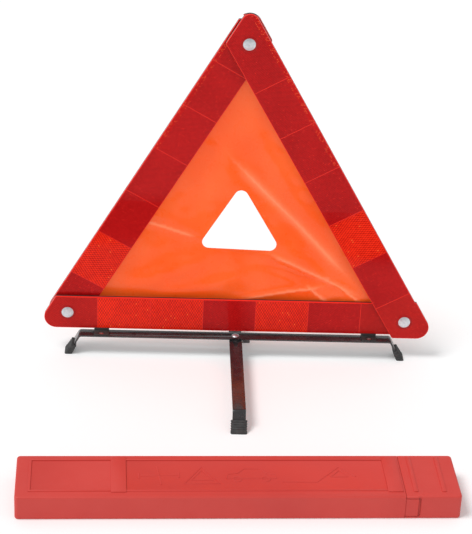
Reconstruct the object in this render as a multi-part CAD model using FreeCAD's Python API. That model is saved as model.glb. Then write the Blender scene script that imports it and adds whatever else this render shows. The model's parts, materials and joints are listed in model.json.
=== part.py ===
import FreeCAD, Part
import math
import os

from FreeCAD import Placement, Rotation, Vector

os.makedirs("parts", exist_ok=True)

# Folding warning triangle with its storage case.
# +X is to the right, +Y to the back and +Z up. The origin is on the ground,
# straight below the rivet that joins the two strips of the stand.
# All sizes are in millimetres.

# ---------------------------------------------------------------------------
# Driving dimensions: the triangle
# ---------------------------------------------------------------------------
rivet_spacing = 400.0          # between any two of the three corner rivets
arm_width = 45.0               # the two upright arms
base_width = 42.0              # the lower arm
lens_thickness = 1.8
lens_edge_radius = 0.5
housing_thickness = 2.2
housing_rim = 2.4              # wall left round the hollow of a housing
housing_floor = 1.1            # back wall of a housing
turning_clearance = 0.3        # between an arm and the rivet ends it passes
right_arm_front_y = -2.0
corner_radius = 14.5           # lower corners of the triangle
apex_radius = 10.0             # top corner of the front arm
rear_apex_radius = 14.0        # top corner of the rear arm
small_corner_radius = 2.5
root_step = 1.5                # the right arm's root is this much wider
root_step_height = 26.0        # up to this height over its rivet

# Driving dimensions: rivets, washers, eyelets
rivet_shank_radius = 3.0
rivet_head_radius = 7.0
rivet_head_height = 1.6
rivet_tail_radius = 5.0
rivet_tail_height = 1.0
rivet_boss_radius = 8.5
running_clearance = 0.05       # radial, between a turning arm and its rivet
washer_radius = 8.0
axial_clearance = 0.1          # between a turning arm and its washers
rear_washer_thickness = 0.5
eyelet_radius = 6.0
eyelet_thickness = 0.8
stud_radius = 2.0
stud_depth = 1.2               # how deep the sheet's stud sits in the housing

# Driving dimensions: the latch peg at the top
latch_distance = 26.4          # peg's distance over the top rivet
latch_neck_radius = 2.0
latch_collar_radius = 2.6
latch_head_radius = 3.2
latch_head_height = 1.3
latch_clearance = 0.4          # round the neck, in the slot
part_clearance = 0.3           # between the peg's shoulders and the rear arm

# Driving dimensions: the fluorescent sheet
sheet_thickness = 0.4
sheet_corner_radius = 10.0
window_bottom = 88.0           # over the line of the lower rivets
window_top = 169.5
window_half_width = 50.0
window_radius = 8.0

# Driving dimensions: the stand
strip_width = 15.0
strip_thickness = 2.0
side_strip_top = 25.0
fold_clearance = 2.0           # from the side strip up to a folded arm
bend_inset = 14.6              # from a corner rivet in to the strip's bend
side_foot_spread = 12.6        # a side foot stands this far outside its bend
bend_radius = 3.0              # inside of a bend
leg_gap = 0.6                  # between side strip and cross leg
leg_washer_thickness = 0.4
leg_bend_inset = 25.4          # the cross leg's bend, inside the strip's bend
leg_foot_spread = 11.0
stand_head_radius = 4.5
stand_head_height = 1.5
stop_width = 9.0
stop_thickness = 1.6
stop_clearance = 0.5
stop_side_clearance = 0.3
boot_length = 13.5
boot_width = 19.0
boot_top_thickness = 6.2
boot_foot_thickness = 8.6
boot_sole = 2.5
boot_corner_radius = 2.0

# Driving dimensions: the clips that hold the lower arm on the strip
clip_inset = 25.9              # from the strip's bend in to a clip's middle
clip_length = 17.5
clip_pad_height = 1.4
clip_front_height = 0.9        # of the lip before the lower arm, over its edge
clip_rear_height = 5.0
clip_front_lip = 1.3
clip_rear_lip = 1.5
clip_front_margin = 0.5
screw_head_radius = 2.6
screw_shank_radius = 1.4
screw_head_depth = 1.0
screw_inset = 4.0              # from the strip's front edge

# Driving dimensions: the storage case
case_wall = 1.4
case_clearance = 1.1           # over the folded triangle, in length
case_side_clearance = 0.6      # over the folded triangle, in width
case_lid_clearance = 0.7       # over the folded triangle, in height
case_gap = 83.0                # from the front foot to the case
case_offset_x = -5.6
case_turn = 1.95               # degrees, seen from above
case_edge_radius = 2.0
case_corner_radius = 4.0
cap_length = 59.0
seam_gap = 0.4
hinge_inset = 14.5             # from the seam to the cap's hinge line
hinge_groove = 1.2
hinge_margin = 3.2             # tab's distance from the case's top and bottom
tongue_length = 8.0
tongue_thickness = 1.2
tongue_height = 14.0
relief_depth = 0.5
relief_front_margin = 13.0
relief_rear_margin = 10.0
band_front_margin = 8.5
band_rear_margin = 4.5
band_width = 16.0
panel_start = 16.0             # from the case's closed end
short_panel_length = 83.0
cap_rib_width = 4.5
cap_rib_places = (9.0, 39.0)   # from the seam

# ---------------------------------------------------------------------------
# Worked out from the driving dimensions
# ---------------------------------------------------------------------------
half_width = arm_width / 2
arm_thickness = lens_thickness + housing_thickness
rivet_end_height = axial_clearance + eyelet_thickness + rivet_tail_height
layer_gap = turning_clearance + max(rivet_head_height, rivet_end_height)
layer_pitch = arm_thickness + layer_gap
base_front_y = right_arm_front_y + layer_pitch
left_arm_front_y = base_front_y + layer_pitch
right_arm_back_y = right_arm_front_y + arm_thickness
base_back_y = base_front_y + arm_thickness
left_arm_back_y = left_arm_front_y + arm_thickness

half_base = base_width / 2
rivet_line_z = side_strip_top + fold_clearance + max(half_width, half_base)
half_spacing = rivet_spacing / 2
triangle_height = rivet_spacing * math.sqrt(3) / 2
slant_cos = math.cos(math.radians(30))
slant_sin = math.sin(math.radians(30))

left_rivet = (-half_spacing, rivet_line_z)
right_rivet = (half_spacing, rivet_line_z)
top_rivet = (0.0, rivet_line_z + triangle_height)
latch_place = (0.0, top_rivet[1] + latch_distance)

rear_eyelet_front_y = left_arm_back_y + axial_clearance + rear_washer_thickness
rear_eyelet_back_y = rear_eyelet_front_y + eyelet_thickness
right_eyelet_front_y = base_back_y + axial_clearance
right_eyelet_back_y = right_eyelet_front_y + eyelet_thickness
stack_back_y = rear_eyelet_back_y + rivet_tail_height

side_strip_bottom = side_strip_top - strip_thickness
leg_top = side_strip_bottom - leg_gap
leg_bottom = leg_top - strip_thickness
side_bend_x = half_spacing - bend_inset
leg_bend = side_bend_x - leg_bend_inset
clip_x = side_bend_x - clip_inset

# Size of the folded triangle, which the case has to hold.
front_apex_reach = (arm_width - 2 * apex_radius) * slant_cos + apex_radius
rear_apex_reach = (arm_width - 2 * rear_apex_radius) * slant_cos + rear_apex_radius
root_corner_z = corner_radius - half_width
root_corner_x = (half_width + root_step - corner_radius - root_corner_z * slant_sin) / slant_cos
root_reach = root_corner_x * slant_sin - root_corner_z * slant_cos + corner_radius
folded_length = rivet_spacing + front_apex_reach + max(rear_apex_reach, root_reach)
folded_height = rivet_line_z + half_width + root_step
folded_depth = stack_back_y + strip_width / 2

case_length = folded_length + case_clearance + 2 * case_wall
case_width = folded_height + case_side_clearance + 2 * case_wall
case_height = folded_depth + case_lid_clearance + 2 * case_wall
front_foot_reach = leg_bend + leg_foot_spread + boot_foot_thickness / 2
case_centre_y = -(front_foot_reach + case_gap + case_width / 2)
seam_x = case_length / 2 - cap_length


def rounded_outline(corners):
    """Closed wire in the XZ plane from (x, z, radius) corners."""
    count = len(corners)
    starts, arcs = [], []
    for index, (x, z, radius) in enumerate(corners):
        here = Vector(x, 0, z)
        before = Vector(corners[index - 1][0], 0, corners[index - 1][1]) - here
        after_corner = corners[(index + 1) % count]
        after = Vector(after_corner[0], 0, after_corner[1]) - here
        before.normalize()
        after.normalize()
        if radius == 0:
            starts.append((here, here))
            arcs.append(None)
            continue
        half_angle = before.getAngle(after) / 2
        reach = radius / math.tan(half_angle)
        entry = here + before * reach
        leave = here + after * reach
        middle_way = before + after
        middle_way.normalize()
        centre = here + middle_way * (radius / math.sin(half_angle))
        middle = centre - middle_way * radius
        starts.append((entry, leave))
        arcs.append(Part.Arc(entry, middle, leave).toShape())
    edges = []
    for index in range(count):
        if arcs[index]:
            edges.append(arcs[index])
        leave = starts[index][1]
        entry = starts[(index + 1) % count][0]
        if leave.distanceToPoint(entry) > 1e-6:
            edges.append(Part.makeLine(leave, entry))
    return Part.Wire(edges)


def plate(outline, front_y, depth):
    """Flat plate with the given XZ outline, from front_y backwards."""
    solid = Part.Face(outline).extrude(Vector(0, depth, 0))
    solid.translate(Vector(0, front_y, 0))
    return solid


def rod_y(place, radius, front_y, back_y):
    """Round rod along Y at an (x, z) place."""
    start = Vector(place[0], front_y, place[1])
    return Part.makeCylinder(radius, back_y - front_y, start, Vector(0, 1, 0))


def dome(centre, axis, radius, height):
    """Rivet head: a slice of a ball, flat side at centre, bulging along axis."""
    ball_radius = (radius * radius + height * height) / (2 * height)
    ball_centre = centre + axis * (height - ball_radius)
    ball = Part.makeSphere(ball_radius, ball_centre)
    disc = Part.makeCylinder(radius, height, centre, axis)
    return ball.common(disc)


def box(low, high):
    """Box between two corners."""
    size = [high[i] - low[i] for i in range(3)]
    return Part.makeBox(size[0], size[1], size[2], Vector(*low))


def fillet_where(solid, radius, wanted):
    """Round the straight edges for which wanted(edge) is true."""
    edges = [edge for edge in solid.Edges if wanted(edge)]
    return solid.makeFillet(radius, edges)


def along(edge, axis):
    """True for a straight edge that runs along the axis."""
    if not isinstance(edge.Curve, (Part.Line, Part.LineSegment)):
        return False
    run = edge.Vertexes[-1].Point - edge.Vertexes[0].Point
    run.normalize()
    return abs(run.dot(axis)) > 0.999


# ---------------------------------------------------------------------------
# Arms
# ---------------------------------------------------------------------------
def mirrored(corners):
    """The same corners on the other side of the YZ plane, in the same turning sense."""
    return [(-x, z, radius) for x, z, radius in reversed(corners)]


def outer_x(rise, extra=0.0):
    """X of the triangle's right outer edge at a rise over the lower rivets."""
    return half_spacing + (half_width + extra - rise * slant_sin) / slant_cos


def inner_x(rise):
    """X of the right arm's inner edge at a rise over the lower rivets."""
    return half_spacing - (half_width + rise * slant_sin) / slant_cos


def base_corners():
    """Lower arm: a bar whose ends are slanted like the triangle's outer edges."""
    low, high = -half_base, half_base
    right_side = [
        (outer_x(high), rivet_line_z + high, small_corner_radius),
        (outer_x(low), rivet_line_z + low, corner_radius),
    ]
    return right_side + mirrored(right_side)


def right_arm_corners():
    """Front arm, standing: its root has a small step in the outer edge."""
    low = -half_width
    apex_z = top_rivet[1] + arm_width
    shoulder = half_width / slant_cos
    return [
        (0.0, apex_z, apex_radius),
        (outer_x(root_step_height), rivet_line_z + root_step_height, 0),
        (outer_x(root_step_height, root_step), rivet_line_z + root_step_height, 0),
        (outer_x(low, root_step), rivet_line_z + low, corner_radius),
        (inner_x(low), rivet_line_z + low, small_corner_radius),
        (-shoulder, top_rivet[1], small_corner_radius),
    ]


def left_arm_corners():
    """Rear arm, standing: round at its root and pointed at the top."""
    along_x, along_z = slant_sin, slant_cos
    side_x, side_z = -slant_cos, slant_sin
    root_x = left_rivet[0] - half_width * along_x
    root_z = left_rivet[1] - half_width * along_z
    shoulder = half_width / slant_cos
    outer_root = (root_x + half_width * side_x, root_z + half_width * side_z, half_width - 0.01)
    inner_root = (root_x - half_width * side_x, root_z - half_width * side_z, half_width - 0.01)
    return [
        (0.0, top_rivet[1] + arm_width, rear_apex_radius),
        (shoulder, top_rivet[1], small_corner_radius),
        inner_root,
        outer_root,
    ]


def make_lens(corners, front_y, holes):
    """Reflector lens: a plate with a softened front edge and rivet holes."""
    lens = plate(rounded_outline(corners), front_y, lens_thickness)
    front_edges = [e for e in lens.Edges if abs(e.BoundBox.YMax - front_y) < 1e-6]
    lens = lens.makeFillet(lens_edge_radius, front_edges)
    for place, radius in holes:
        hole = rod_y(place, radius, front_y - 1, front_y + lens_thickness + 1)
        lens = lens.cut(hole)
    return lens


def make_housing(corners, front_y, holes, bosses):
    """Rear cover: a tray with a rim, and solid bosses where something passes."""
    outline = rounded_outline(corners)
    housing = plate(outline, front_y, housing_thickness)
    hollow_face = Part.Face(outline).makeOffset2D(-housing_rim)
    hollow = hollow_face.extrude(Vector(0, housing_thickness - housing_floor, 0))
    hollow.translate(Vector(0, front_y, 0))
    for place in bosses:
        boss = rod_y(place, rivet_boss_radius, front_y - 1, front_y + housing_thickness)
        hollow = hollow.cut(boss)
    housing = housing.cut(hollow)
    for place, radius in holes:
        hole = rod_y(place, radius, front_y - 1, front_y + housing_thickness + 1)
        housing = housing.cut(hole)
    return housing


def make_latch_slot():
    """Room for the peg's neck, open towards the rear arm's outer edge."""
    half_slot = latch_neck_radius + latch_clearance
    front_y, back_y = left_arm_front_y - 1, left_arm_back_y + 1
    round_end = rod_y(latch_place, half_slot, front_y, back_y)
    mouth = box((-arm_width, front_y, latch_place[1] - half_slot),
                (latch_place[0], back_y, latch_place[1] + half_slot))
    return round_end.fuse(mouth)


def make_latch_peg():
    """Peg on the front arm that hooks into the rear arm's slot."""
    seat_y = right_arm_back_y - housing_floor
    neck_end = left_arm_back_y + part_clearance
    neck = rod_y(latch_place, latch_neck_radius, seat_y, neck_end)
    collar = rod_y(latch_place, latch_collar_radius,
                   right_arm_back_y, left_arm_front_y - part_clearance)
    head = rod_y(latch_place, latch_head_radius, neck_end, neck_end + latch_head_height)
    return neck.fuse([collar, head]).removeSplitter()


# ---------------------------------------------------------------------------
# Rivets, washers and the sheet
# ---------------------------------------------------------------------------
def make_rivet(place, head_y, tail_y):
    """Corner rivet with a domed head in front and a flat tail at the back."""
    start = Vector(place[0], head_y, place[1])
    head = dome(start, Vector(0, -1, 0), rivet_head_radius, rivet_head_height)
    shank = rod_y(place, rivet_shank_radius, head_y, tail_y)
    tail = rod_y(place, rivet_tail_radius, tail_y, tail_y + rivet_tail_height)
    return head.fuse([shank, tail]).removeSplitter()


def ring_y(place, outer, inner, front_y, back_y):
    """Flat ring with its axis along Y."""
    ring = rod_y(place, outer, front_y, back_y)
    return ring.cut(rod_y(place, inner, front_y - 1, back_y + 1))


def sheet_middle_y(place):
    """Y of the sheet's middle, on the plane through its three corners."""
    rear_y = (rear_eyelet_front_y + rear_eyelet_back_y) / 2
    right_y = (right_eyelet_front_y + right_eyelet_back_y) / 2
    distance = (place[0] - left_rivet[0]) * slant_cos - (place[1] - left_rivet[1]) * slant_sin
    return rear_y + (right_y - rear_y) * distance / triangle_height


def make_sheet():
    """Stretched sheet with a rounded triangular window and three eyelet holes."""
    reach = 2 * sheet_corner_radius
    corners = [
        (0.0, top_rivet[1] + reach, sheet_corner_radius),
        (right_rivet[0] + reach * slant_cos, right_rivet[1] - sheet_corner_radius,
         sheet_corner_radius),
        (left_rivet[0] - reach * slant_cos, left_rivet[1] - sheet_corner_radius,
         sheet_corner_radius),
    ]
    window = [
        (0.0, rivet_line_z + window_top, window_radius),
        (window_half_width, rivet_line_z + window_bottom, window_radius),
        (-window_half_width, rivet_line_z + window_bottom, window_radius),
    ]
    face = Part.Face(rounded_outline(corners)).cut(Part.Face(rounded_outline(window)))
    solid = face.extrude(Vector(0, sheet_thickness, 0))
    slope = FreeCAD.Matrix()
    slope.A21 = sheet_middle_y((1.0, 0.0)) - sheet_middle_y((0.0, 0.0))
    slope.A23 = sheet_middle_y((0.0, 1.0)) - sheet_middle_y((0.0, 0.0))
    slope.A24 = sheet_middle_y((0.0, 0.0)) - sheet_thickness / 2
    solid = solid.transformGeometry(slope)
    for place in (left_rivet, right_rivet, top_rivet):
        middle_y = sheet_middle_y(place)
        solid = solid.cut(rod_y(place, eyelet_radius, middle_y - 3, middle_y + 3))
    return solid.Solids[0]


# ---------------------------------------------------------------------------
# Stand
# ---------------------------------------------------------------------------
def leg_direction(bend, foot_spread, middle_z):
    """Unit vector from a bend down to its foot, and the length of that run."""
    run = Vector(foot_spread, 0, -middle_z)
    length = run.Length
    run.normalize()
    return run, length


def make_strip(middle_z, bend, foot_spread):
    """Flat strip along X with both ends bent down."""
    down, length = leg_direction(bend, foot_spread, middle_z)
    end = Vector(bend, 0, middle_z) + down * (length - boot_sole)
    normal = Vector(-down.z, 0, down.x)
    half = strip_thickness / 2
    knee = half * math.tan(down.getAngle(Vector(1, 0, 0)) / 2)
    right = [
        (bend + knee, middle_z + half, bend_radius + strip_thickness),
        (end.x + normal.x * half, end.z + normal.z * half, 0),
        (end.x - normal.x * half, end.z - normal.z * half, 0),
        (bend - knee, middle_z - half, bend_radius),
    ]
    outline = rounded_outline(right + mirrored(right))
    return plate(outline, -strip_width / 2, strip_width)


def make_boot(middle_z, bend, foot_spread, strip):
    """Rubber boot over the right-hand end of a strip, cut flat at the ground."""
    down, length = leg_direction(bend, foot_spread, middle_z)
    normal = Vector(-down.z, 0, down.x)
    top = Vector(bend, 0, middle_z) + down * (length - boot_length)
    low = Vector(bend, 0, middle_z) + down * (length + boot_foot_thickness)
    half_top, half_low = boot_top_thickness / 2, boot_foot_thickness / 2
    corners = [top + normal * half_top, low + normal * half_low,
               low - normal * half_low, top - normal * half_top]
    outline = rounded_outline([(c.x, c.z, 0) for c in corners])
    boot = plate(outline, -boot_width / 2, boot_width)
    boot = fillet_where(boot, boot_corner_radius, lambda edge: along(edge, down) or (
        abs(edge.tangentAt(edge.FirstParameter).y) < 0.1 and edge.Length > boot_length * 0.9))
    below = box((0, -boot_width, -4 * boot_length), (2 * bend, boot_width, 0))
    return boot.cut(below).cut(strip)


def make_clip(centre_x):
    """Saddle on the side strip that grips the lower edge of the base arm."""
    floor_z = side_strip_top
    pad_z = floor_z + clip_pad_height
    seat_z = rivet_line_z - half_base
    front_z, rear_z = seat_z + clip_front_height, seat_z + clip_rear_height
    front = -strip_width / 2 + clip_front_margin
    profile = [
        (front, floor_z), (base_back_y + clip_rear_lip, floor_z),
        (base_back_y + clip_rear_lip, rear_z), (base_back_y, rear_z),
        (base_back_y, seat_z), (base_front_y, seat_z),
        (base_front_y, front_z), (base_front_y - clip_front_lip, front_z),
        (base_front_y - clip_front_lip, pad_z), (front, pad_z),
    ]
    points = [Vector(centre_x - clip_length / 2, y, z) for y, z in profile]
    face = Part.Face(Part.makePolygon(points + points[:1]))
    return face.extrude(Vector(clip_length, 0, 0))


def make_clip_screw(centre_x):
    """Countersunk screw from the clip's pad through the strip."""
    y = -strip_width / 2 + screw_inset
    top = side_strip_top + clip_pad_height
    down = Vector(0, 0, -1)
    head = Part.makeCone(screw_head_radius, screw_shank_radius, screw_head_depth,
                         Vector(centre_x, y, top), down)
    shank = Part.makeCylinder(screw_shank_radius, top - side_strip_bottom,
                              Vector(centre_x, y, top), down)
    return head.fuse(shank).removeSplitter()


def make_stop_tab():
    """Ear on the strip's front edge that stops the cross leg."""
    leg_edge = strip_width / 2
    left = leg_edge + stop_side_clearance
    inner_y = -leg_edge - stop_clearance
    outer_y = inner_y - stop_thickness
    ear = box((left, outer_y, side_strip_bottom), (left + stop_width, -leg_edge, side_strip_top))
    drop = box((left, outer_y, leg_bottom), (left + stop_width, inner_y, side_strip_top))
    return ear.fuse(drop)


def make_stand_rivet():
    """Rivet that joins side strip and cross leg, domed at both ends."""
    up, down = Vector(0, 0, 1), Vector(0, 0, -1)
    bottom = leg_bottom - axial_clearance
    shank = Part.makeCylinder(rivet_shank_radius, side_strip_top - bottom, Vector(0, 0, bottom), up)
    head = dome(Vector(0, 0, side_strip_top), up, stand_head_radius, stand_head_height)
    tail = dome(Vector(0, 0, bottom), down, stand_head_radius, stand_head_height)
    return shank.fuse([head, tail]).removeSplitter()


def upright_hole(radius):
    """Hole along Z through the stand's middle."""
    return Part.makeCylinder(radius, side_strip_top, Vector(0, 0, side_strip_top / 2))


# ---------------------------------------------------------------------------
# Storage case
# ---------------------------------------------------------------------------
def place_in_front(solid):
    """Put a piece of the case, made round the origin, in front of the stand."""
    turn = Placement(Vector(case_offset_x, case_centre_y, 0), Rotation(Vector(0, 0, 1), case_turn))
    moved = solid.copy()
    moved.Placement = turn.multiply(moved.Placement)
    return moved


def case_shell():
    """Whole closed shell of body and cap, before it is split at the seam."""
    half_length, half_case = case_length / 2, case_width / 2
    outer = box((-half_length, -half_case, 0), (half_length, half_case, case_height))
    outer = fillet_where(outer, case_corner_radius, lambda e: along(e, Vector(0, 0, 1)))
    outer = fillet_where(outer, case_edge_radius, lambda e: along(e, Vector(1, 0, 0)))
    inner = box((-half_length + case_wall, -half_case + case_wall, case_wall),
                (half_length - case_wall, half_case - case_wall, case_height - case_wall))
    return outer.cut(inner)


def case_relief():
    """Shallow panels sunk in the top, and bands that stand proud of it."""
    half_length, half_case = case_length / 2, case_width / 2
    low_y, high_y = -half_case + relief_front_margin, half_case - relief_rear_margin
    band_low, band_high = -half_case + band_front_margin, half_case - band_rear_margin
    first_panel = -half_length + panel_start
    first_band = first_panel + short_panel_length
    second_panel = first_band + band_width
    second_band = seam_x - band_width - case_edge_radius
    top = case_height
    sunk = [box((start, low_y, top - relief_depth), (end, high_y, top + 1))
            for start, end in ((first_panel, first_band), (second_panel, second_band))]
    proud = [box((start, band_low, top), (start + band_width, band_high, top + relief_depth))
             for start in (first_band, second_band)]
    return sunk, proud


def hinge_tab_block(margin):
    """Part of the front wall between the seam and the cap's hinge line."""
    half_case = case_width / 2
    low = (seam_x - margin, -half_case - 1, hinge_margin - margin)
    high = (seam_x + hinge_inset + margin, -half_case + case_wall,
            case_height - hinge_margin + margin)
    return box(low, high)


def make_case_body():
    """Long tray of the case, open at the cap's end, with a latch tongue."""
    half_case = case_width / 2
    shell = case_shell()
    body = shell.common(box((-case_length, -case_width, -1), (seam_x, case_width, 2 * case_height)))
    sunk, proud = case_relief()
    body = body.cut(sunk).fuse(proud)
    tab = shell.common(hinge_tab_block(0))
    tongue_y = half_case - case_wall - part_clearance - tongue_thickness
    middle_z = case_height / 2
    tongue = box((seam_x - tongue_length, tongue_y, middle_z - tongue_height / 2),
                 (seam_x + tongue_length, tongue_y + tongue_thickness,
                  middle_z + tongue_height / 2))
    root = box((seam_x - tongue_length, tongue_y, middle_z - tongue_height / 2),
               (seam_x - seam_gap, half_case - case_wall, middle_z + tongue_height / 2))
    return body.fuse([tab, tongue, root]).removeSplitter()


def make_case_cap():
    """Short end of the case, which swings forward on its hinge line."""
    shell = case_shell()
    end = box((seam_x + seam_gap, -case_width, -1), (case_length, case_width, 2 * case_height))
    cap = shell.common(end).cut(hinge_tab_block(hinge_groove / 2))
    half_case = case_width / 2
    ribs = [box((seam_x + start, -half_case + band_front_margin, case_height),
                (seam_x + start + cap_rib_width, half_case - band_rear_margin,
                 case_height + relief_depth)) for start in cap_rib_places]
    return cap.fuse(ribs).removeSplitter()


# ---------------------------------------------------------------------------
# Build every piece
# ---------------------------------------------------------------------------
running_radius = rivet_shank_radius + running_clearance
pieces = {}

base_holes = [(left_rivet, rivet_shank_radius), (right_rivet, rivet_shank_radius)]
base_bosses = [left_rivet, right_rivet]
pieces["base_lens"] = make_lens(base_corners(), base_front_y, base_holes)
pieces["base_housing"] = make_housing(
    base_corners(), base_front_y + lens_thickness, base_holes, base_bosses)

latch_slot = make_latch_slot()
left_root_hole = [(left_rivet, running_radius)]
left_lens = make_lens(left_arm_corners(), left_arm_front_y, left_root_hole)
pieces["left_arm_lens"] = left_lens.cut(latch_slot)
left_housing = make_housing(left_arm_corners(), left_arm_front_y + lens_thickness,
                            left_root_hole, [left_rivet, top_rivet, latch_place])
stud_start = left_arm_back_y - stud_depth
stud_seat = rod_y(top_rivet, stud_radius, stud_start, left_arm_back_y + 1)
pieces["left_arm_housing"] = left_housing.cut([latch_slot, stud_seat])
stud_shank = rod_y(top_rivet, stud_radius, stud_start, rear_eyelet_back_y)
stud_head = rod_y(top_rivet, rivet_tail_radius, rear_eyelet_back_y, stack_back_y)
pieces["sheet_stud"] = stud_shank.fuse(stud_head).removeSplitter()

right_holes = [(right_rivet, running_radius), (top_rivet, rivet_shank_radius)]
pieces["right_arm_lens"] = make_lens(right_arm_corners(), right_arm_front_y, right_holes)
right_housing = make_housing(right_arm_corners(), right_arm_front_y + lens_thickness,
                             right_holes, [right_rivet, top_rivet, latch_place])
tail_seat = rod_y(top_rivet, rivet_tail_radius,
                  right_arm_back_y - rivet_tail_height, right_arm_back_y + 1)
latch_peg = make_latch_peg()
pieces["right_arm_housing"] = right_housing.cut([tail_seat, latch_peg])
pieces["latch_peg"] = latch_peg

pieces["left_rivet"] = make_rivet(left_rivet, base_front_y, rear_eyelet_back_y)
pieces["right_rivet"] = make_rivet(
    right_rivet, right_arm_front_y - axial_clearance, right_eyelet_back_y)
pieces["top_rivet"] = make_rivet(
    top_rivet, right_arm_front_y, right_arm_back_y - rivet_tail_height)

pieces["left_spacer"] = ring_y(left_rivet, washer_radius, rivet_shank_radius,
                               base_back_y, left_arm_front_y - axial_clearance)
pieces["right_spacer"] = ring_y(right_rivet, washer_radius, rivet_shank_radius,
                                right_arm_back_y + axial_clearance, base_front_y)
pieces["left_rear_washer"] = ring_y(left_rivet, washer_radius, rivet_shank_radius,
                                    left_arm_back_y + axial_clearance, rear_eyelet_front_y)
pieces["left_eyelet"] = ring_y(left_rivet, eyelet_radius, rivet_shank_radius,
                               rear_eyelet_front_y, rear_eyelet_back_y)
pieces["right_eyelet"] = ring_y(right_rivet, eyelet_radius, rivet_shank_radius,
                                right_eyelet_front_y, right_eyelet_back_y)
pieces["top_eyelet"] = ring_y(top_rivet, eyelet_radius, stud_radius,
                              rear_eyelet_front_y, rear_eyelet_back_y)
pieces["fluorescent_sheet"] = make_sheet()

side_middle_z = side_strip_top - strip_thickness / 2
side_strip = make_strip(side_middle_z, side_bend_x, side_foot_spread)
right_boot = make_boot(side_middle_z, side_bend_x, side_foot_spread, side_strip)
pieces["right_foot_boot"] = right_boot
pieces["left_foot_boot"] = right_boot.mirror(Vector(0, 0, 0), Vector(1, 0, 0))
side_strip = side_strip.fuse(make_stop_tab()).cut(upright_hole(rivet_shank_radius))
for side, name in ((-1, "left"), (1, "right")):
    screw = make_clip_screw(side * clip_x)
    pieces[name + "_clip"] = make_clip(side * clip_x).cut(screw)
    pieces[name + "_clip_screw"] = screw
    side_strip = side_strip.cut(screw)
pieces["side_strip"] = side_strip.removeSplitter()

leg_middle_z = leg_top - strip_thickness / 2
quarter_turn = (Vector(0, 0, 0), Vector(0, 0, 1), 90)
cross_leg = make_strip(leg_middle_z, leg_bend, leg_foot_spread)
rear_boot = make_boot(leg_middle_z, leg_bend, leg_foot_spread, cross_leg)
front_boot = rear_boot.mirror(Vector(0, 0, 0), Vector(1, 0, 0))
cross_leg = cross_leg.cut(upright_hole(running_radius))
for name, shape in (("cross_leg", cross_leg), ("rear_foot_boot", rear_boot),
                    ("front_foot_boot", front_boot)):
    shape.rotate(*quarter_turn)
    pieces[name] = shape
leg_washer = Part.makeCylinder(washer_radius - 1, leg_washer_thickness,
                               Vector(0, 0, side_strip_bottom - leg_washer_thickness))
pieces["leg_washer"] = leg_washer.cut(upright_hole(rivet_shank_radius))
pieces["stand_rivet"] = make_stand_rivet()

pieces["case_body"] = place_in_front(make_case_body())
pieces["case_cap"] = place_in_front(make_case_cap())

for name, shape in pieces.items():
    if len(shape.Solids) != 1 or not shape.isValid():
        print("check", name, len(shape.Solids), shape.isValid())
    shape.exportStep(os.path.join("parts", name + ".step"))

print("pieces:", len(pieces))
print("case:", round(case_length, 2), round(case_width, 2), round(case_height, 2))
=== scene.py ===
"""Folding warning triangle on its cross stand, with the case that it is kept in.

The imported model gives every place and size. This script adds what the eye sees: the prism fields
of the reflectors, the creased sheet, turned rivets and eyelets, ribbed boots, the moulded relief
of the case, every finish, a plain studio and the camera.
"""
from __future__ import annotations

import json
import logging
import math
from dataclasses import dataclass
from enum import Enum
from typing import Any, Iterable, Sequence

import bmesh
import bpy
from mathutils import Matrix, Vector, geometry, noise
from mathutils.bvhtree import BVHTree


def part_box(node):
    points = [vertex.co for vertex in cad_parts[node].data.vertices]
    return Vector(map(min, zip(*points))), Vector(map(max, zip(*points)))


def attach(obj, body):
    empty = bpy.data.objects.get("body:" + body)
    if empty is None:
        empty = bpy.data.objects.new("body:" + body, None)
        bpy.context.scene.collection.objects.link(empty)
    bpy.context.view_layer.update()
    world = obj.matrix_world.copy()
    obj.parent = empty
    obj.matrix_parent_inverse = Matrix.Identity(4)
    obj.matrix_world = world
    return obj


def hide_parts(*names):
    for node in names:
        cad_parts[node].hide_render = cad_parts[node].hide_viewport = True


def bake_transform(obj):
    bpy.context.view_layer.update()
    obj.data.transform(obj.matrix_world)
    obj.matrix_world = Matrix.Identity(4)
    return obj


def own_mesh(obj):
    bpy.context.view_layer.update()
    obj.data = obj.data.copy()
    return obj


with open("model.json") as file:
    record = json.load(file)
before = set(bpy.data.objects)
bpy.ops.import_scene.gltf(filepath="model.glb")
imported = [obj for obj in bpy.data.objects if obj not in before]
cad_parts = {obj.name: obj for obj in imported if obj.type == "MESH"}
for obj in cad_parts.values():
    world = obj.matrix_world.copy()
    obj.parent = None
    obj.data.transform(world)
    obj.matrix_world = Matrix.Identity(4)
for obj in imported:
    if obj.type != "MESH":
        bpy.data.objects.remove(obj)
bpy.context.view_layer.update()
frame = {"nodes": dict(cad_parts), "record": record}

log = logging.getLogger("warning_triangle")

MM = 0.001
TOUCH = 1e-5                     # metres; two points closer than this are in one plane
WELD = 2e-6                      # metres; points of a CAD mesh closer than this are one
Colour = tuple[float, float, float]
Point2 = tuple[float, float]


# ---------------------------------------------------------------------------
# Node graphs
# ---------------------------------------------------------------------------
class NodeBuilder:
    """Adds nodes to a tree and feeds their sockets with values or with other sockets."""

    def __init__(self, tree: bpy.types.NodeTree) -> None:
        """Keep the tree that nodes are added to."""
        self.tree = tree

    def add(self, kind: str, inputs: dict[str | int, Any] | None = None,
            **settings: Any) -> bpy.types.Node:
        """Add one node.

        Args:
            kind: The node's type name.
            inputs: Value or source socket for each input, by name or index.
            **settings: Properties of the node itself.

        Returns:
            The new node.
        """
        node = self.tree.nodes.new(kind)
        for name, value in settings.items():
            setattr(node, name, value)
        for key, value in (inputs or {}).items():
            if isinstance(value, bpy.types.NodeSocket):
                self.tree.links.new(value, node.inputs[key])
            else:
                node.inputs[key].default_value = value
        return node

    def math(self, operation: str, first: Any, second: Any = 0.0) -> bpy.types.NodeSocket:
        """Result of one sum on two values or sockets."""
        return self.add("ShaderNodeMath", {0: first, 1: second}, operation=operation).outputs[0]


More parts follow.
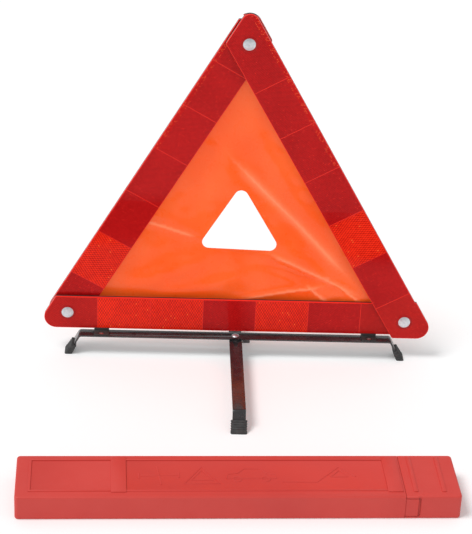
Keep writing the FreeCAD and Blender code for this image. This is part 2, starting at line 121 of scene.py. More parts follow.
class Surface(NodeBuilder):
    """One material built round a Principled shader."""

    def __init__(self, name: str, **constants: Any) -> None:
        """Make the material and set what is the same all over it.

        Args:
            name: The material's name.
            **constants: Shader inputs, with underscores for spaces.
        """
        self.material = bpy.data.materials.new(name)
        self.material.use_nodes = True
        super().__init__(self.material.node_tree)
        self.shader = self.tree.nodes["Principled BSDF"]
        for key, value in constants.items():
            self.shader.inputs[key.replace("_", " ")].default_value = value

    def feed(self, name: str, source: bpy.types.NodeSocket) -> None:
        """Drive one shader input from a socket."""
        self.tree.links.new(source, self.shader.inputs[name])

    def noise(self, size: float, detail: float = 2.0,
              stretch: Sequence[float] = (1.0, 1.0, 1.0)) -> bpy.types.NodeSocket:
        """Noise from 0 to 1, fixed to the object.

        Args:
            size: Size of the grains in metres.
            detail: How many finer layers are added.
            stretch: Scale along each axis; below 1 draws the grains out.

        Returns:
            The noise value's socket.
        """
        place = self.add("ShaderNodeTexCoord").outputs["Object"]
        spread = self.add("ShaderNodeMapping", {"Vector": place, "Scale": stretch})
        texture = self.add("ShaderNodeTexNoise", {
            "Vector": spread.outputs["Vector"], "Scale": 1.0 / size, "Detail": detail})
        return texture.outputs["Fac"]

    def ramp(self, value: bpy.types.NodeSocket, low: float, high: float,
             new_low: float = 0.0, new_high: float = 1.0) -> bpy.types.NodeSocket:
        """Map a value from one range to another, clamped.

        Args:
            value: The value's socket.
            low: Lower end of the range it comes in.
            high: Upper end of that range.
            new_low: What low becomes.
            new_high: What high becomes.

        Returns:
            The mapped value's socket.
        """
        return self.add("ShaderNodeMapRange", {
            "Value": value, "From Min": low, "From Max": high,
            "To Min": new_low, "To Max": new_high}).outputs["Result"]

    def mix(self, factor: Any, first: Any, second: Any) -> bpy.types.NodeSocket:
        """Blend two colours.

        Args:
            factor: Share of the second colour, from 0 to 1.
            first: A colour triple or a colour socket.
            second: The same for the other colour.

        Returns:
            The blended colour's socket.
        """
        ends = [value if isinstance(value, bpy.types.NodeSocket) else (*value, 1.0)
                for value in (first, second)]
        node = self.add("ShaderNodeMix", {0: factor, 6: ends[0], 7: ends[1]}, data_type="RGBA")
        return node.outputs[2]

    def bump(self, height: bpy.types.NodeSocket, depth: float) -> None:
        """Drive the base normal from a height of 0 to 1 that stands for depth metres."""
        node = self.add("ShaderNodeBump", {"Height": height, "Distance": depth, "Strength": 1.0})
        self.feed("Normal", node.outputs["Normal"])

    def attribute(self, name: str) -> bpy.types.NodeSocket:
        """Value of a mesh attribute."""
        return self.add("ShaderNodeAttribute", attribute_name=name).outputs["Fac"]


class ShapeTree(NodeBuilder):
    """A Geometry Nodes tree with named inputs, run once to give a plain mesh."""

    KINDS = {float: "NodeSocketFloat", int: "NodeSocketInt",
             bpy.types.Object: "NodeSocketObject", bpy.types.Material: "NodeSocketMaterial"}

    def __init__(self, name: str, inputs: dict[str, type]) -> None:
        """Make an empty tree.

        Args:
            name: The tree's name.
            inputs: The named inputs and the type of each.
        """
        super().__init__(bpy.data.node_groups.new(name, "GeometryNodeTree"))
        face = self.tree.interface
        face.new_socket("Geometry", in_out="INPUT", socket_type="NodeSocketGeometry")
        self.keys = {key: face.new_socket(key, in_out="INPUT", socket_type=self.KINDS[kind]).identifier
                     for key, kind in inputs.items()}
        face.new_socket("Geometry", in_out="OUTPUT", socket_type="NodeSocketGeometry")
        self.source = self.add("NodeGroupInput")

    def given(self, name: str) -> bpy.types.NodeSocket:
        """Socket of one named input."""
        return self.source.outputs[name]

    def close(self, shape: bpy.types.NodeSocket) -> None:
        """End the tree with Realize Instances and Set Material.

        Args:
            shape: Socket of the finished shape.
        """
        real = self.add("GeometryNodeRealizeInstances", {"Geometry": shape})
        dressed = self.add("GeometryNodeSetMaterial", {
            "Geometry": real.outputs["Geometry"], "Material": self.given("Material")})
        self.add("NodeGroupOutput", {"Geometry": dressed.outputs["Geometry"]})

    def run(self, values: dict[str, Any], carrier: bpy.types.ID | None = None) -> bpy.types.Mesh:
        """Evaluate the tree.

        Args:
            values: A value for each named input.
            carrier: Mesh or curve data for the tree to start from.

        Returns:
            The result as a plain mesh.
        """
        data = carrier or bpy.data.meshes.new("carrier")
        holder = bpy.data.objects.new("carrier", data)
        bpy.context.scene.collection.objects.link(holder)
        modifier = holder.modifiers.new("shape", "NODES")
        modifier.node_group = self.tree
        for name, value in values.items():
            modifier[self.keys[name]] = value
        bpy.context.view_layer.update()
        seen = holder.evaluated_get(bpy.context.evaluated_depsgraph_get())
        mesh = bpy.data.meshes.new_from_object(seen)
        bpy.data.objects.remove(holder)
        return mesh


# ---------------------------------------------------------------------------
# Finishes
# ---------------------------------------------------------------------------
@dataclass(frozen=True)
class Moulded:
    """Moulded plastic or rubber: slow colour drift, a fine grain and an uneven gloss."""

    name: str
    colour: Colour
    drift: Colour
    drift_size: float = 30 * MM
    grain_size: float = 0.7 * MM
    grain_depth: float = 0.012 * MM
    gloss: Point2 = (0.42, 0.6)      # roughness, lowest and highest
    coat: float = 0.0
    specular: float = 0.5

    def material(self) -> bpy.types.Material:
        """Build the material.

        Returns:
            The material.
        """
        surface = Surface(self.name, Coat_Weight=self.coat, Coat_Roughness=0.04,
                          Specular_IOR_Level=self.specular)
        patches = surface.ramp(surface.noise(self.drift_size, 3.0), 0.3, 0.7)
        surface.feed("Base Color", surface.mix(patches, self.colour, self.drift))
        gloss = surface.noise(self.drift_size / 4, 4.0)
        surface.feed("Roughness", surface.ramp(gloss, 0.25, 0.75, *self.gloss))
        surface.bump(surface.noise(self.grain_size, 3.0), self.grain_depth)
        return surface.material


@dataclass(frozen=True)
class PrismRed:
    """Clear red reflector plastic over prisms, under one smooth face: each prism's three facets get
    painted light and painted shade, as the prisms would send light back.
    """

    name: str
    # shade and glow: the painted shaded and lit reds that the facets are mixed between
    shade: Colour
    glow: Colour
    # spark: colour of painted glints on a few prisms
    spark: Colour
    spark_share: float = 0.04
    painted_glow: float = 0.0         # painted glow: emission that stands in for light the prisms send back, on top of the plastic's own
    coat: float = 0.2
    facet_tones: Point2 = (0.1, 0.85)    # painted shade of the darkest facet and painted light of the palest
    prism_tones: Point2 = (-0.12, 0.13)  # added from prism to prism
    drift_tones: Point2 = (-0.10, 0.10)  # added in slow patches
    drift_size: float = 60 * MM
    spark_facet: float = 0.75        # only facets above this value get a painted glint
    gloss: Point2 = (0.34, 0.5)

    def material(self) -> bpy.types.Material:
        """Build the material.

        Returns:
            The material.
        """
        surface = Surface(self.name, Coat_Weight=self.coat, Coat_Roughness=0.02,
                          Specular_IOR_Level=0.04, Emission_Color=(1.0, 0.02, 0.005, 1.0),
                          Emission_Strength=self.painted_glow)
        facet, cell = surface.attribute("facet"), surface.attribute("cell")
        # facet value sets painted shade and painted light per facet; prism and patch tones are added on
        # top
        tone = surface.math("ADD", surface.ramp(facet, 0.0, 1.0, *self.facet_tones),
                            surface.ramp(cell, 0.0, 1.0, *self.prism_tones))
        drift = surface.ramp(surface.noise(self.drift_size, 1.0), 0.35, 0.65, *self.drift_tones)
        tone = surface.ramp(surface.math("ADD", tone, drift), 0.0, 1.0)
        body = surface.mix(tone, self.shade, self.glow)
        # painted glint on a few of the palest facets
        glint_mask = surface.math("GREATER_THAN", cell, 1.0 - self.spark_share)
        glint_mask = surface.math("MULTIPLY", glint_mask, surface.math("GREATER_THAN", facet, self.spark_facet))
        surface.feed("Base Color", surface.mix(glint_mask, body, self.spark))
        surface.feed("Roughness", surface.ramp(cell, 0.0, 1.0, *self.gloss))
        return surface.material


@dataclass(frozen=True)
class GlossPaint:
    """Sprayed gloss paint on steel, with orange peel and a thin film of dust."""

    name: str
    colour: Colour
    dusty: Colour
    dust_size: float = 18 * MM
    gloss: Point2 = (0.2, 0.34)
    gloss_size: float = 9 * MM
    peel_size: float = 3.5 * MM
    peel_depth: float = 0.012 * MM

    def material(self) -> bpy.types.Material:
        """Build the material.

        Returns:
            The material.
        """
        surface = Surface(self.name, Coat_Weight=0.45, Coat_Roughness=0.1, Specular_IOR_Level=0.5)
        patches = surface.ramp(surface.noise(self.dust_size, 4.0), 0.35, 0.75)
        surface.feed("Base Color", surface.mix(patches, self.colour, self.dusty))
        gloss = surface.noise(self.gloss_size, 4.0)
        surface.feed("Roughness", surface.ramp(gloss, 0.3, 0.7, *self.gloss))
        surface.bump(surface.noise(self.peel_size, 1.0), self.peel_depth)
        return surface.material


@dataclass(frozen=True)
class BareMetal:
    """Bare metal with fine scratches and a dull film in patches."""

    name: str
    colour: Colour
    dull: Colour
    gloss: Point2 = (0.22, 0.42)
    patch_size: float = 2.5 * MM
    scratch_size: float = 0.5 * MM
    scratch_depth: float = 0.004 * MM

    def material(self) -> bpy.types.Material:
        """Build the material.

        Returns:
            The material.
        """
        surface = Surface(self.name, Metallic=1.0)
        patches = surface.ramp(surface.noise(self.patch_size, 4.0), 0.3, 0.7)
        surface.feed("Base Color", surface.mix(patches, self.colour, self.dull))
        lines = surface.noise(self.scratch_size, 3.0, (1.0, 0.4, 0.25))
        surface.feed("Roughness", surface.ramp(lines, 0.3, 0.7, *self.gloss))
        surface.bump(lines, self.scratch_depth)
        return surface.material


@dataclass(frozen=True)
class GlowingFilm:
    """Fluorescent film: glossy, a little uneven, giving back more orange light than it gets."""

    name: str
    colour: Colour
    pale: Colour
    white: Colour                    # pale on sharp crease crests: partly strain whitening of the film, partly painted highlight
    glow: Colour
    glow_strength: float = 0.25
    band_size: float = 60 * MM
    crest_highlight_most: float = 0.6         # share of white on the sharpest crest
    gloss: Point2 = (0.22, 0.38)
    gloss_size: float = 8 * MM
    ripple_size: float = 1.6 * MM
    ripple_depth: float = 0.01 * MM

    def material(self) -> bpy.types.Material:
        """Build the material.

        Returns:
            The material.
        """
        surface = Surface(self.name, Coat_Weight=0.35, Coat_Roughness=0.1,
                          Specular_IOR_Level=0.2,
                          Emission_Color=(*self.glow, 1.0), Emission_Strength=self.glow_strength)
        bands = surface.noise(self.band_size, 2.0, (1.0, 1.0, 0.6))
        body = surface.mix(surface.ramp(bands, 0.35, 0.65), self.colour, self.pale)
        # pale along the crease crests: partly strain whitening, partly painted highlight
        crest_highlit = surface.ramp(surface.attribute("crest_highlight"), 0.05, 1.0, 0.0, self.crest_highlight_most)
        surface.feed("Base Color", surface.mix(crest_highlit, body, self.white))
        gloss = surface.noise(self.gloss_size, 3.0)
        surface.feed("Roughness", surface.ramp(gloss, 0.3, 0.7, *self.gloss))
        surface.bump(surface.noise(self.ripple_size, 2.0), self.ripple_depth)
        return surface.material


class Finishes:
    """Every finish of the object, each made once."""

    def __init__(self) -> None:
        """Build the materials."""
        # red of the clear lens, made brighter partly as a painted highlight on its polished edges
        self.lens = Moulded("lens_red", (0.95, 0.030, 0.018), (0.86, 0.022, 0.014),
                            grain_depth=0.002 * MM, gloss=(0.2, 0.3), coat=0.25,
                            specular=0.08).material()
        # dark red on the rivet lands: painted shadow ring round the rivets
        self.shaded_land = Moulded("lens_land_painted_shade", (0.46, 0.008, 0.008), (0.40, 0.006, 0.006),
                            grain_depth=0.002 * MM, gloss=(0.25, 0.35), coat=0.2,
                            specular=0.08).material()
        # coarse prisms also carry a painted glow for the light they send back
        self.coarse = PrismRed("prisms_coarse", (0.42, 0.001, 0.001), (1.0, 0.036, 0.010),
                               (1.0, 0.12, 0.03), 0.02, painted_glow=0.12).material()
        self.fine = PrismRed("prisms_fine", (0.35, 0.001, 0.002), (0.72, 0.012, 0.012),
                             (0.90, 0.03, 0.02), 0.02).material()
        # border prisms at the outer edges, with painted glints on 30 % of them
        self.edge = PrismRed("prisms_edge", (0.42, 0.001, 0.002), (0.80, 0.010, 0.008),
                             (1.0, 0.09, 0.03), 0.30).material()
        self.end = PrismRed("prisms_end", (0.40, 0.004, 0.004), (0.68, 0.016, 0.012),
                            (0.80, 0.03, 0.02), 0.02).material()
        self.housing = Moulded("housing_black", (0.022, 0.019, 0.019), (0.03, 0.026, 0.025),
                               gloss=(0.45, 0.65)).material()
        self.paint = GlossPaint("painted_steel", (0.017, 0.016, 0.018),
                                (0.036, 0.033, 0.035)).material()
        self.rubber = Moulded("boot_rubber", (0.030, 0.031, 0.032), (0.055, 0.056, 0.055),
                              drift_size=4 * MM, grain_size=0.9 * MM, grain_depth=0.05 * MM,
                              gloss=(0.55, 0.85)).material()
        self.clip = Moulded("clip_plastic", (0.02, 0.018, 0.018), (0.035, 0.032, 0.031),
                            gloss=(0.4, 0.6)).material()
        self.aluminium = BareMetal("rivet_aluminium", (0.72, 0.74, 0.77), (0.56, 0.59, 0.62),
                                   (0.3, 0.5)).material()
        self.zinc = BareMetal("zinc_steel", (0.60, 0.61, 0.62), (0.45, 0.45, 0.44)).material()
        self.film = GlowingFilm("sheet_film", (0.93, 0.100, 0.008), (0.95, 0.140, 0.024),
                                (1.0, 0.42, 0.22), (1.0, 0.10, 0.01)).material()
        self.case = Moulded("case_red", (0.66, 0.058, 0.045), (0.61, 0.050, 0.040),
                            drift_size=90 * MM, grain_size=0.9 * MM, grain_depth=0.03 * MM,
                            gloss=(0.42, 0.6), specular=0.4).material()


# ---------------------------------------------------------------------------
# Mesh work
# ---------------------------------------------------------------------------
def rounded_polygon(corners: Iterable[tuple[float, float, float]], steps: int = 6) -> list[Vector]:
    """Points of a polygon whose corners are rounded by arcs.

    Args:
        corners: (x, y, radius) of each corner, in order.
        steps: Segments of each arc.

    Returns:
        The outline's points as 2-D vectors.
    """
    corners = list(corners)
    points: list[Vector] = []
    for index, (x, y, radius) in enumerate(corners):
        here = Vector((x, y))
        before = (Vector(corners[index - 1][:2]) - here).normalized()
        after = (Vector(corners[(index + 1) % len(corners)][:2]) - here).normalized()
        half = math.acos(max(-1.0, min(1.0, before.dot(after)))) / 2
        middle = (before + after).normalized()
        centre = here + middle * (radius / math.sin(half))
        entry = here + before * (radius / math.tan(half)) - centre
        leave = here + after * (radius / math.tan(half)) - centre
        turn = math.atan2(entry.x * leave.y - entry.y * leave.x, entry.dot(leave))
        for step in range(steps + 1):
            angle = turn * step / steps
            cos, sin = math.cos(angle), math.sin(angle)
            points.append(centre + Vector((entry.x * cos - entry.y * sin,
                                           entry.x * sin + entry.y * cos)))
    return points


def polygon_area(points: Sequence[Vector]) -> float:
    """Area inside a closed outline."""
    pairs = zip(points, list(points[1:]) + [points[0]])
    return abs(sum(a.x * b.y - a.y * b.x for a, b in pairs)) / 2


def to_mesh(shape: bmesh.types.BMesh, name: str, angle: float = 35.0) -> bpy.types.Mesh:
    """Turn a bmesh into a mesh with its faces outwards, and free it.

    Args:
        shape: The bmesh; it can't be used afterwards.
        name: The mesh's name.
        angle: Edges that turn less than this many degrees are smooth.

    Returns:
        The new mesh.
    """
    bmesh.ops.recalc_face_normals(shape, faces=shape.faces)
    mesh = bpy.data.meshes.new(name)
    shape.to_mesh(mesh)
    shape.free()
    mesh.shade_smooth()
    mesh.set_sharp_from_angle(angle=math.radians(angle))
    return mesh


def lathe(profile: Sequence[Point2], place: Matrix, segments: int = 48,
          shape: bmesh.types.BMesh | None = None) -> bmesh.types.BMesh:
    """Turn a closed profile about its own Z axis.

    Args:
        profile: (radius, height) points; a radius of 0 makes a pole.
        place: Where the turned solid goes.
        segments: Steps round the axis.
        shape: The bmesh to add to, or None for a new one.

    Returns:
        The bmesh that holds the solid.
    """
    shape = shape or bmesh.new()
    rings: list[list[bmesh.types.BMVert]] = []
    for radius, height in profile:
        count = 1 if radius == 0 else segments
        rings.append([shape.verts.new(place @ Vector((
            radius * math.cos(math.tau * i / segments),
            radius * math.sin(math.tau * i / segments), height))) for i in range(count)])
    pairs = list(zip(rings, rings[1:]))
    if profile[0][0] > 0:
        pairs.append((rings[-1], rings[0]))
    for low, high in pairs:
        for i in range(segments):
            j = (i + 1) % segments
            corners = [low[i % len(low)], low[j % len(low)], high[j % len(high)], high[i % len(high)]]
            face = list(dict.fromkeys(corners))
            if len(face) > 2:
                shape.faces.new(face)
    return shape


def bar(low: Sequence[float], high: Sequence[float], radius: float,
        shape: bmesh.types.BMesh | None = None) -> bmesh.types.BMesh:
    """Box with rounded edges.

    Args:
        low: Its lowest corner.
        high: Its highest corner.
        radius: Width of the rounding.
        shape: The bmesh to add to, or None for a new one.

    Returns:
        The bmesh that holds the box.
    """
    shape = shape or bmesh.new()
    size = [b - a for a, b in zip(low, high)]
    middle = Vector([(a + b) / 2 for a, b in zip(low, high)])
    matrix = Matrix.Translation(middle) @ Matrix.Diagonal((*size, 1.0))
    made = bmesh.ops.create_cube(shape, size=1.0, matrix=matrix)
    edges = {edge for vert in made["verts"] for edge in vert.link_edges}
    bmesh.ops.bevel(shape, geom=list(edges), offset=radius, segments=2, affect="EDGES", profile=0.5)
    return shape


def softened(node: str, width: float, segments: int = 2, angle: float = 30.0) -> bpy.types.Mesh:
    """Copy of a CAD node with its sharp edges broken.

    Args:
        node: The CAD node to copy.
        width: Width of the broken edge in metres.
        segments: Facets across it.
        angle: Edges that turn more than this many degrees are broken.

    Returns:
        The new mesh, in the frame's own place.
    """
    shape = bmesh.new()
    shape.from_mesh(frame["nodes"][node].data)
    bmesh.ops.remove_doubles(shape, verts=shape.verts, dist=WELD)
    bmesh.ops.dissolve_limit(shape, angle_limit=math.radians(0.3), verts=shape.verts, edges=shape.edges)
    sharp = [edge for edge in shape.edges
             if edge.is_manifold and edge.calc_face_angle(0.0) > math.radians(angle)]
    bmesh.ops.bevel(shape, geom=sharp, offset=width, segments=segments, affect="EDGES",
                    profile=0.5, clamp_overlap=True)
    bmesh.ops.triangulate(shape, faces=[face for face in shape.faces if len(face.verts) > 4])
    return to_mesh(shape, node + "_soft")


def carved(mesh: bpy.types.Mesh, cutter: bmesh.types.BMesh) -> bpy.types.Mesh:
    """Cut a closed shape out of a mesh.

    Args:
        mesh: The mesh to cut.
        cutter: The closed shape; it can't be used afterwards.

    Returns:
        The cut mesh.
    """
    tool_mesh = bpy.data.meshes.new("cutter")
    bmesh.ops.recalc_face_normals(cutter, faces=cutter.faces)
    cutter.to_mesh(tool_mesh)
    cutter.free()
    tool = bpy.data.objects.new("cutter", tool_mesh)
    work = bpy.data.objects.new("work", mesh)
    for item in (tool, work):
        bpy.context.scene.collection.objects.link(item)
    modifier = work.modifiers.new("cut", "BOOLEAN")
    modifier.object, modifier.operation, modifier.solver = tool, "DIFFERENCE", "EXACT"
    bpy.context.view_layer.update()
    seen = work.evaluated_get(bpy.context.evaluated_depsgraph_get())
    made = bpy.data.meshes.new_from_object(seen)
    for item in (tool, work):
        bpy.data.objects.remove(item)
    return made


def centre_of(node: str) -> Vector:
    """Middle of a CAD node's box."""
    low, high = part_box(node)
    return (low + high) / 2


def facing(place: Vector, outward: Vector) -> Matrix:
    """Matrix that puts a turned piece at a place with its Z axis along outward."""
    return Matrix.Translation(place) @ outward.to_track_quat("Z", "Y").to_matrix().to_4x4()


def piece(name: str, mesh: bpy.types.Mesh, material: bpy.types.Material, body: str,
          replaces: Sequence[str] = ()) -> bpy.types.Object:
    """Put a finished mesh into the scene as one piece of the object.

    Args:
        name: The piece's name.
        mesh: Its mesh, in the frame's own place.
        material: Its finish.
        body: The CAD body that it moves with.
        replaces: The CAD nodes that it stands for.

    Returns:
        The new object.
    """
    mesh.materials.clear()
    mesh.materials.append(material)
    made = bpy.data.objects.new(name, mesh)
    bpy.context.scene.collection.objects.link(made)
    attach(made, body)
    if replaces:
        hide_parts(*replaces)
    log.info("%s: %d faces on %s", name, len(mesh.polygons), body)
    return made


def dress(nodes: Iterable[str], material: bpy.types.Material) -> None:
    """Give CAD nodes that stay in view their finish.

    Args:
        nodes: Their names.
        material: Their finish.
    """
    for node in nodes:
        data = frame["nodes"][node].data
        data.materials.clear()
        data.materials.append(material)
        data.shade_smooth()
        data.set_sharp_from_angle(angle=math.radians(30))
        log.info("%s: kept from the frame", node)


# ---------------------------------------------------------------------------
# Reflectors
# ---------------------------------------------------------------------------
class PrismKind(Enum):
    """How fine the prisms of one reflector field are."""

    COARSE = "coarse"
    FINE = "fine"
    EDGE = "edge"
    END = "end"


@dataclass(frozen=True)
class PrismSize:
    """Pitch and relief of one kind of prism."""

    pitch: float
    relief: float


PRISM_SIZES = {PrismKind.COARSE: PrismSize(3.0 * MM, 0.018 * MM),
               PrismKind.FINE: PrismSize(1.75 * MM, 0.008 * MM),
               PrismKind.EDGE: PrismSize(2.1 * MM, 0.014 * MM),
               PrismKind.END: PrismSize(1.75 * MM, 0.008 * MM)}


class PrismLattice:
    """Fills a rectangle with cube-corner prisms on a triangular lattice."""

    SPARE = 3                        # extra columns and rows

    def __init__(self) -> None:
        """Build the tree and the single prism that it repeats."""
        self.cell = self.single_prism()
        self.tree = self.lattice_tree()

    @staticmethod
    def single_prism() -> bpy.types.Object:
        """One prism of unit pitch: three square-on facets that meet in its middle.

        Returns:
            The prism's object, to be removed once every field is made.
        """
        mesh = bpy.data.meshes.new("prism")
        reach = 1 / math.sqrt(3)
        rim = [(reach * math.sin(math.radians(60 * k)), reach * math.cos(math.radians(60 * k)),
                1.0 if k % 2 else 0.5) for k in range(6)]
        mesh.from_pydata([(0.0, 0.0, 0.0)] + rim, [],
                         [(0, 1 + (k + 2) % 6, 1 + (k + 1) % 6, 1 + k) for k in (0, 2, 4)])
        # facet values 0, 0.5 and 1 set the painted light and shade that the material gives each facet
        mesh.attributes.new("facet", "FLOAT", "FACE").data.foreach_set("value", (0.0, 0.5, 1.0))
        holder = bpy.data.objects.new("prism", mesh)
        bpy.context.scene.collection.objects.link(holder)
        return holder

    @staticmethod
    def lattice_tree() -> ShapeTree:
        """Tree with inputs Columns, Rows, Pitch, Relief, Seed, Prism and Material.

        Returns:
            The tree.
        """
        tree = ShapeTree("prism_lattice", {
            "Columns": int, "Rows": int, "Pitch": float, "Relief": float, "Seed": int,
            "Prism": bpy.types.Object, "Material": bpy.types.Material})
        index = tree.add("GeometryNodeInputIndex").outputs[0]
        columns, pitch = tree.given("Columns"), tree.given("Pitch")
        row = tree.math("FLOOR", tree.math("DIVIDE", index, columns))
        column = tree.math("SUBTRACT", index, tree.math("MULTIPLY", row, columns))
        shift = tree.math("MULTIPLY", tree.math("MODULO", row, 2.0), 0.5)
        across = tree.math("MULTIPLY", tree.math("ADD", column, shift), pitch)
        row_pitch = tree.math("MULTIPLY", pitch, math.sqrt(3) / 2)
        up = tree.math("MULTIPLY", row, row_pitch)
        spot = tree.add("ShaderNodeCombineXYZ", {"X": across, "Y": up}).outputs[0]
        count = tree.math("MULTIPLY", columns, tree.given("Rows"))
        points = tree.add("GeometryNodePoints", {"Count": count, "Position": spot})
        prism = tree.add("GeometryNodeObjectInfo", {"Object": tree.given("Prism")})
        size = tree.add("ShaderNodeCombineXYZ", {"X": pitch, "Y": pitch, "Z": tree.given("Relief")})
        laid = tree.add("GeometryNodeInstanceOnPoints", {
            "Points": points.outputs[0], "Instance": prism.outputs["Geometry"],
            "Scale": size.outputs[0]})
        real = tree.add("GeometryNodeRealizeInstances", {"Geometry": laid.outputs[0]})
        number = tree.math("FLOOR", tree.math("DIVIDE", index, 3.0))
        chance = tree.add("FunctionNodeRandomValue", {"ID": number, "Seed": tree.given("Seed")},
                          data_type="FLOAT")
        value = next(socket for socket in chance.outputs if socket.type == "VALUE" and socket.enabled)
        marked = tree.add("GeometryNodeStoreNamedAttribute", {
            "Geometry": real.outputs[0], "Name": "cell", "Value": value},
            data_type="FLOAT", domain="FACE")
        joined = tree.add("GeometryNodeMergeByDistance", {
            "Geometry": marked.outputs[0], "Distance": TOUCH * 2})
        tree.close(joined.outputs[0])
        return tree

    def fill(self, low: Point2, high: Point2, kind: PrismKind, material: bpy.types.Material,
             seed: int) -> bmesh.types.BMesh:
        """Lay prisms over a rectangle, with some to spare on every side.

        Args:
            low: The rectangle's lower corner, in the arm's own axes.
            high: Its upper corner.
            kind: How fine the prisms are.
            material: Their finish.
            seed: Seed of their tones.

        Returns:
            The prisms, open below.
        """
        size = PRISM_SIZES[kind]
        columns = math.ceil((high[0] - low[0]) / size.pitch) + self.SPARE
        rows = math.ceil((high[1] - low[1]) / (size.pitch * math.sqrt(3) / 2)) + self.SPARE
        mesh = self.tree.run({"Columns": columns, "Rows": rows, "Pitch": size.pitch,
                              "Relief": size.relief, "Seed": seed, "Prism": self.cell,
                              "Material": material})
        shape = bmesh.new()
        shape.from_mesh(mesh)
        bpy.data.meshes.remove(mesh)
        start = Vector((low[0] - size.pitch, low[1] - size.pitch, 0.0))
        bmesh.ops.translate(shape, verts=shape.verts, vec=start)
        return shape

    def done(self) -> None:
        """Remove the single prism once every field is made."""
        bpy.data.objects.remove(self.cell)


@dataclass
class ReflectorArm:
    """One arm: its lens with prism fields behind a smooth face, and its ribbed rear cover."""

    name: str
    body: str
    root: str                         # rivet node at the arm's root
    tip: str                          # rivet node at its far end
    width: float
    first_seam: float                 # from the root rivet
    kinds: tuple[PrismKind, ...]
    outer_side: int = 0               # side of the border with painted glints: 1, -1, or 0 for none
    border_from: float = 1.0          # distance along the arm where the border starts
    tile_length: float = 62.5 * MM
    seam_gap: float = 0.42 * MM
    edge_margin: float = 0.35 * MM
    least_edge: float = 0.2 * MM      # shorter edges of the outline are left out
    lens_edge: float = 0.5 * MM       # rounding of the lens, where its flat face ends
    outline_spare: float = 2.0 * MM   # prisms are laid this far past the outline, then trimmed
    step_least: float = 0.5 * MM      # a face wider than the arm by more than this has a step
    land_radius: float = 8.8 * MM     # prism-free ring round a rivet
    land_lip: float = 0.9 * MM        # the land reaches this far under the prisms
    land_hole: float = 3.3 * MM
    land_rise: float = 0.16 * MM
    land_sink: float = 0.2 * MM
    lift: float = 0.04 * MM           # the fields lie this far over the face
    border_width: float = 5.0 * MM
    rear_rib_height: float = 0.35 * MM
    rear_rib_width: float = 1.4 * MM
    rear_rib_edge: float = 0.25 * MM
    rear_inset: float = 3.2 * MM
    rear_end: float = 46 * MM         # plain length at each end of the rear cover
    rear_edge: float = 0.3 * MM

    def __post_init__(self) -> None:
        """Work out the arm's own axes: x along it, z out of its front face."""
        start, end = centre_of(self.root), centre_of(self.tip)
        along = Vector((end.x - start.x, 0.0, end.z - start.z))
        self.length = along.length
        along.normalize()
        front = Vector((0.0, -1.0, 0.0))
        turn = Matrix((along, front.cross(along), front)).transposed().to_4x4()
        low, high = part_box(self.name + "_lens")
        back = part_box(self.name + "_housing")[1]
        self.place = Matrix.Translation((start.x, low.y, start.z)) @ turn
        self.thickness = back.y - low.y
        self.half_flat = self.width / 2 - self.lens_edge

    def flat_points(self) -> list[Vector]:
        """Corners of the lens's flat front face, in the arm's own axes.

        Returns:
            The corners, as 3-D vectors.
        """
        inside = self.place.inverted()
        local = [inside @ vert.co for vert in frame["nodes"][self.name + "_lens"].data.vertices]
        return [point for point in local if abs(point.z) < TOUCH]

    def spans(self) -> list[tuple[float, float, PrismKind]]:
        """Start, end and kind of each reflector field along the arm.

        Returns:
            One (start, end, kind) for each field; a root that is wider has a field of its own.
        """
        points = self.flat_points()
        seams = [self.first_seam + k * self.tile_length for k in range(len(self.kinds) - 1)]
        ends = [min(p.x for p in points) - MM] + seams + [max(p.x for p in points) + MM]
        spans = list(zip(ends, ends[1:], self.kinds))
        wide = [p.x for p in points if abs(p.y) > self.half_flat + self.step_least]
        if wide:
            start, end, kind = spans[0]
            step = max(wide)
            spans[0:1] = [(start, step + self.seam_gap, kind), (step - self.seam_gap, end, kind)]
        return spans

    def outline(self, start: float, end: float) -> list[Vector]:
        """Outline of the flat face between two places along the arm.

        Args:
            start: The first place.
            end: The second place.

        Returns:
            Corners of the convex outline, in order.
        """
        points = self.flat_points()
        inner = [Vector((p.x, p.y)) for p in points if start - TOUCH <= p.x <= end + TOUCH]
        reach = (min(p.x for p in points), max(p.x for p in points))
        for x in (start, end):
            if reach[0] < x < reach[1]:
                inner += [Vector((x, -self.half_flat)), Vector((x, self.half_flat))]
        order = geometry.convex_hull_2d(inner)
        return [inner[i] for i in order]

    def trim(self, shape: bmesh.types.BMesh, outline: Sequence[Vector], start: float, end: float,
             low: float, high: float) -> None:
        """Cut a field to its outline, its two seams and a range across the arm.

        Args:
            shape: The field.
            outline: Outline of the flat face between the seams.
            start: Seam at the field's start.
            end: Seam at its end.
            low: Lower end of the range across the arm.
            high: Its upper end.
        """
        cuts = [(Vector((start + self.seam_gap, 0, 0)), Vector((-1, 0, 0))),
                (Vector((end - self.seam_gap, 0, 0)), Vector((1, 0, 0))),
                (Vector((0, low, 0)), Vector((0, -1, 0))), (Vector((0, high, 0)), Vector((0, 1, 0)))]
        middle = sum(outline, Vector((0, 0))) / len(outline)
        for a, b in zip(outline, list(outline[1:]) + [outline[0]]):
            run = b - a
            on_seam = abs(run.x) < TOUCH and min(abs(a.x - start), abs(a.x - end)) < TOUCH
            if run.length < self.least_edge or on_seam:
                continue
            normal = Vector((run.y, -run.x)).normalized()
            if normal.dot(middle - a) > 0:
                normal = -normal
            edge = a - normal * self.edge_margin
            cuts.append((edge.to_3d(), normal.to_3d()))
        for point, normal in cuts:
            parts = shape.verts[:] + shape.edges[:] + shape.faces[:]
            bmesh.ops.bisect_plane(shape, geom=parts, dist=1e-7, plane_co=point,
                                   plane_no=normal, clear_outer=True)

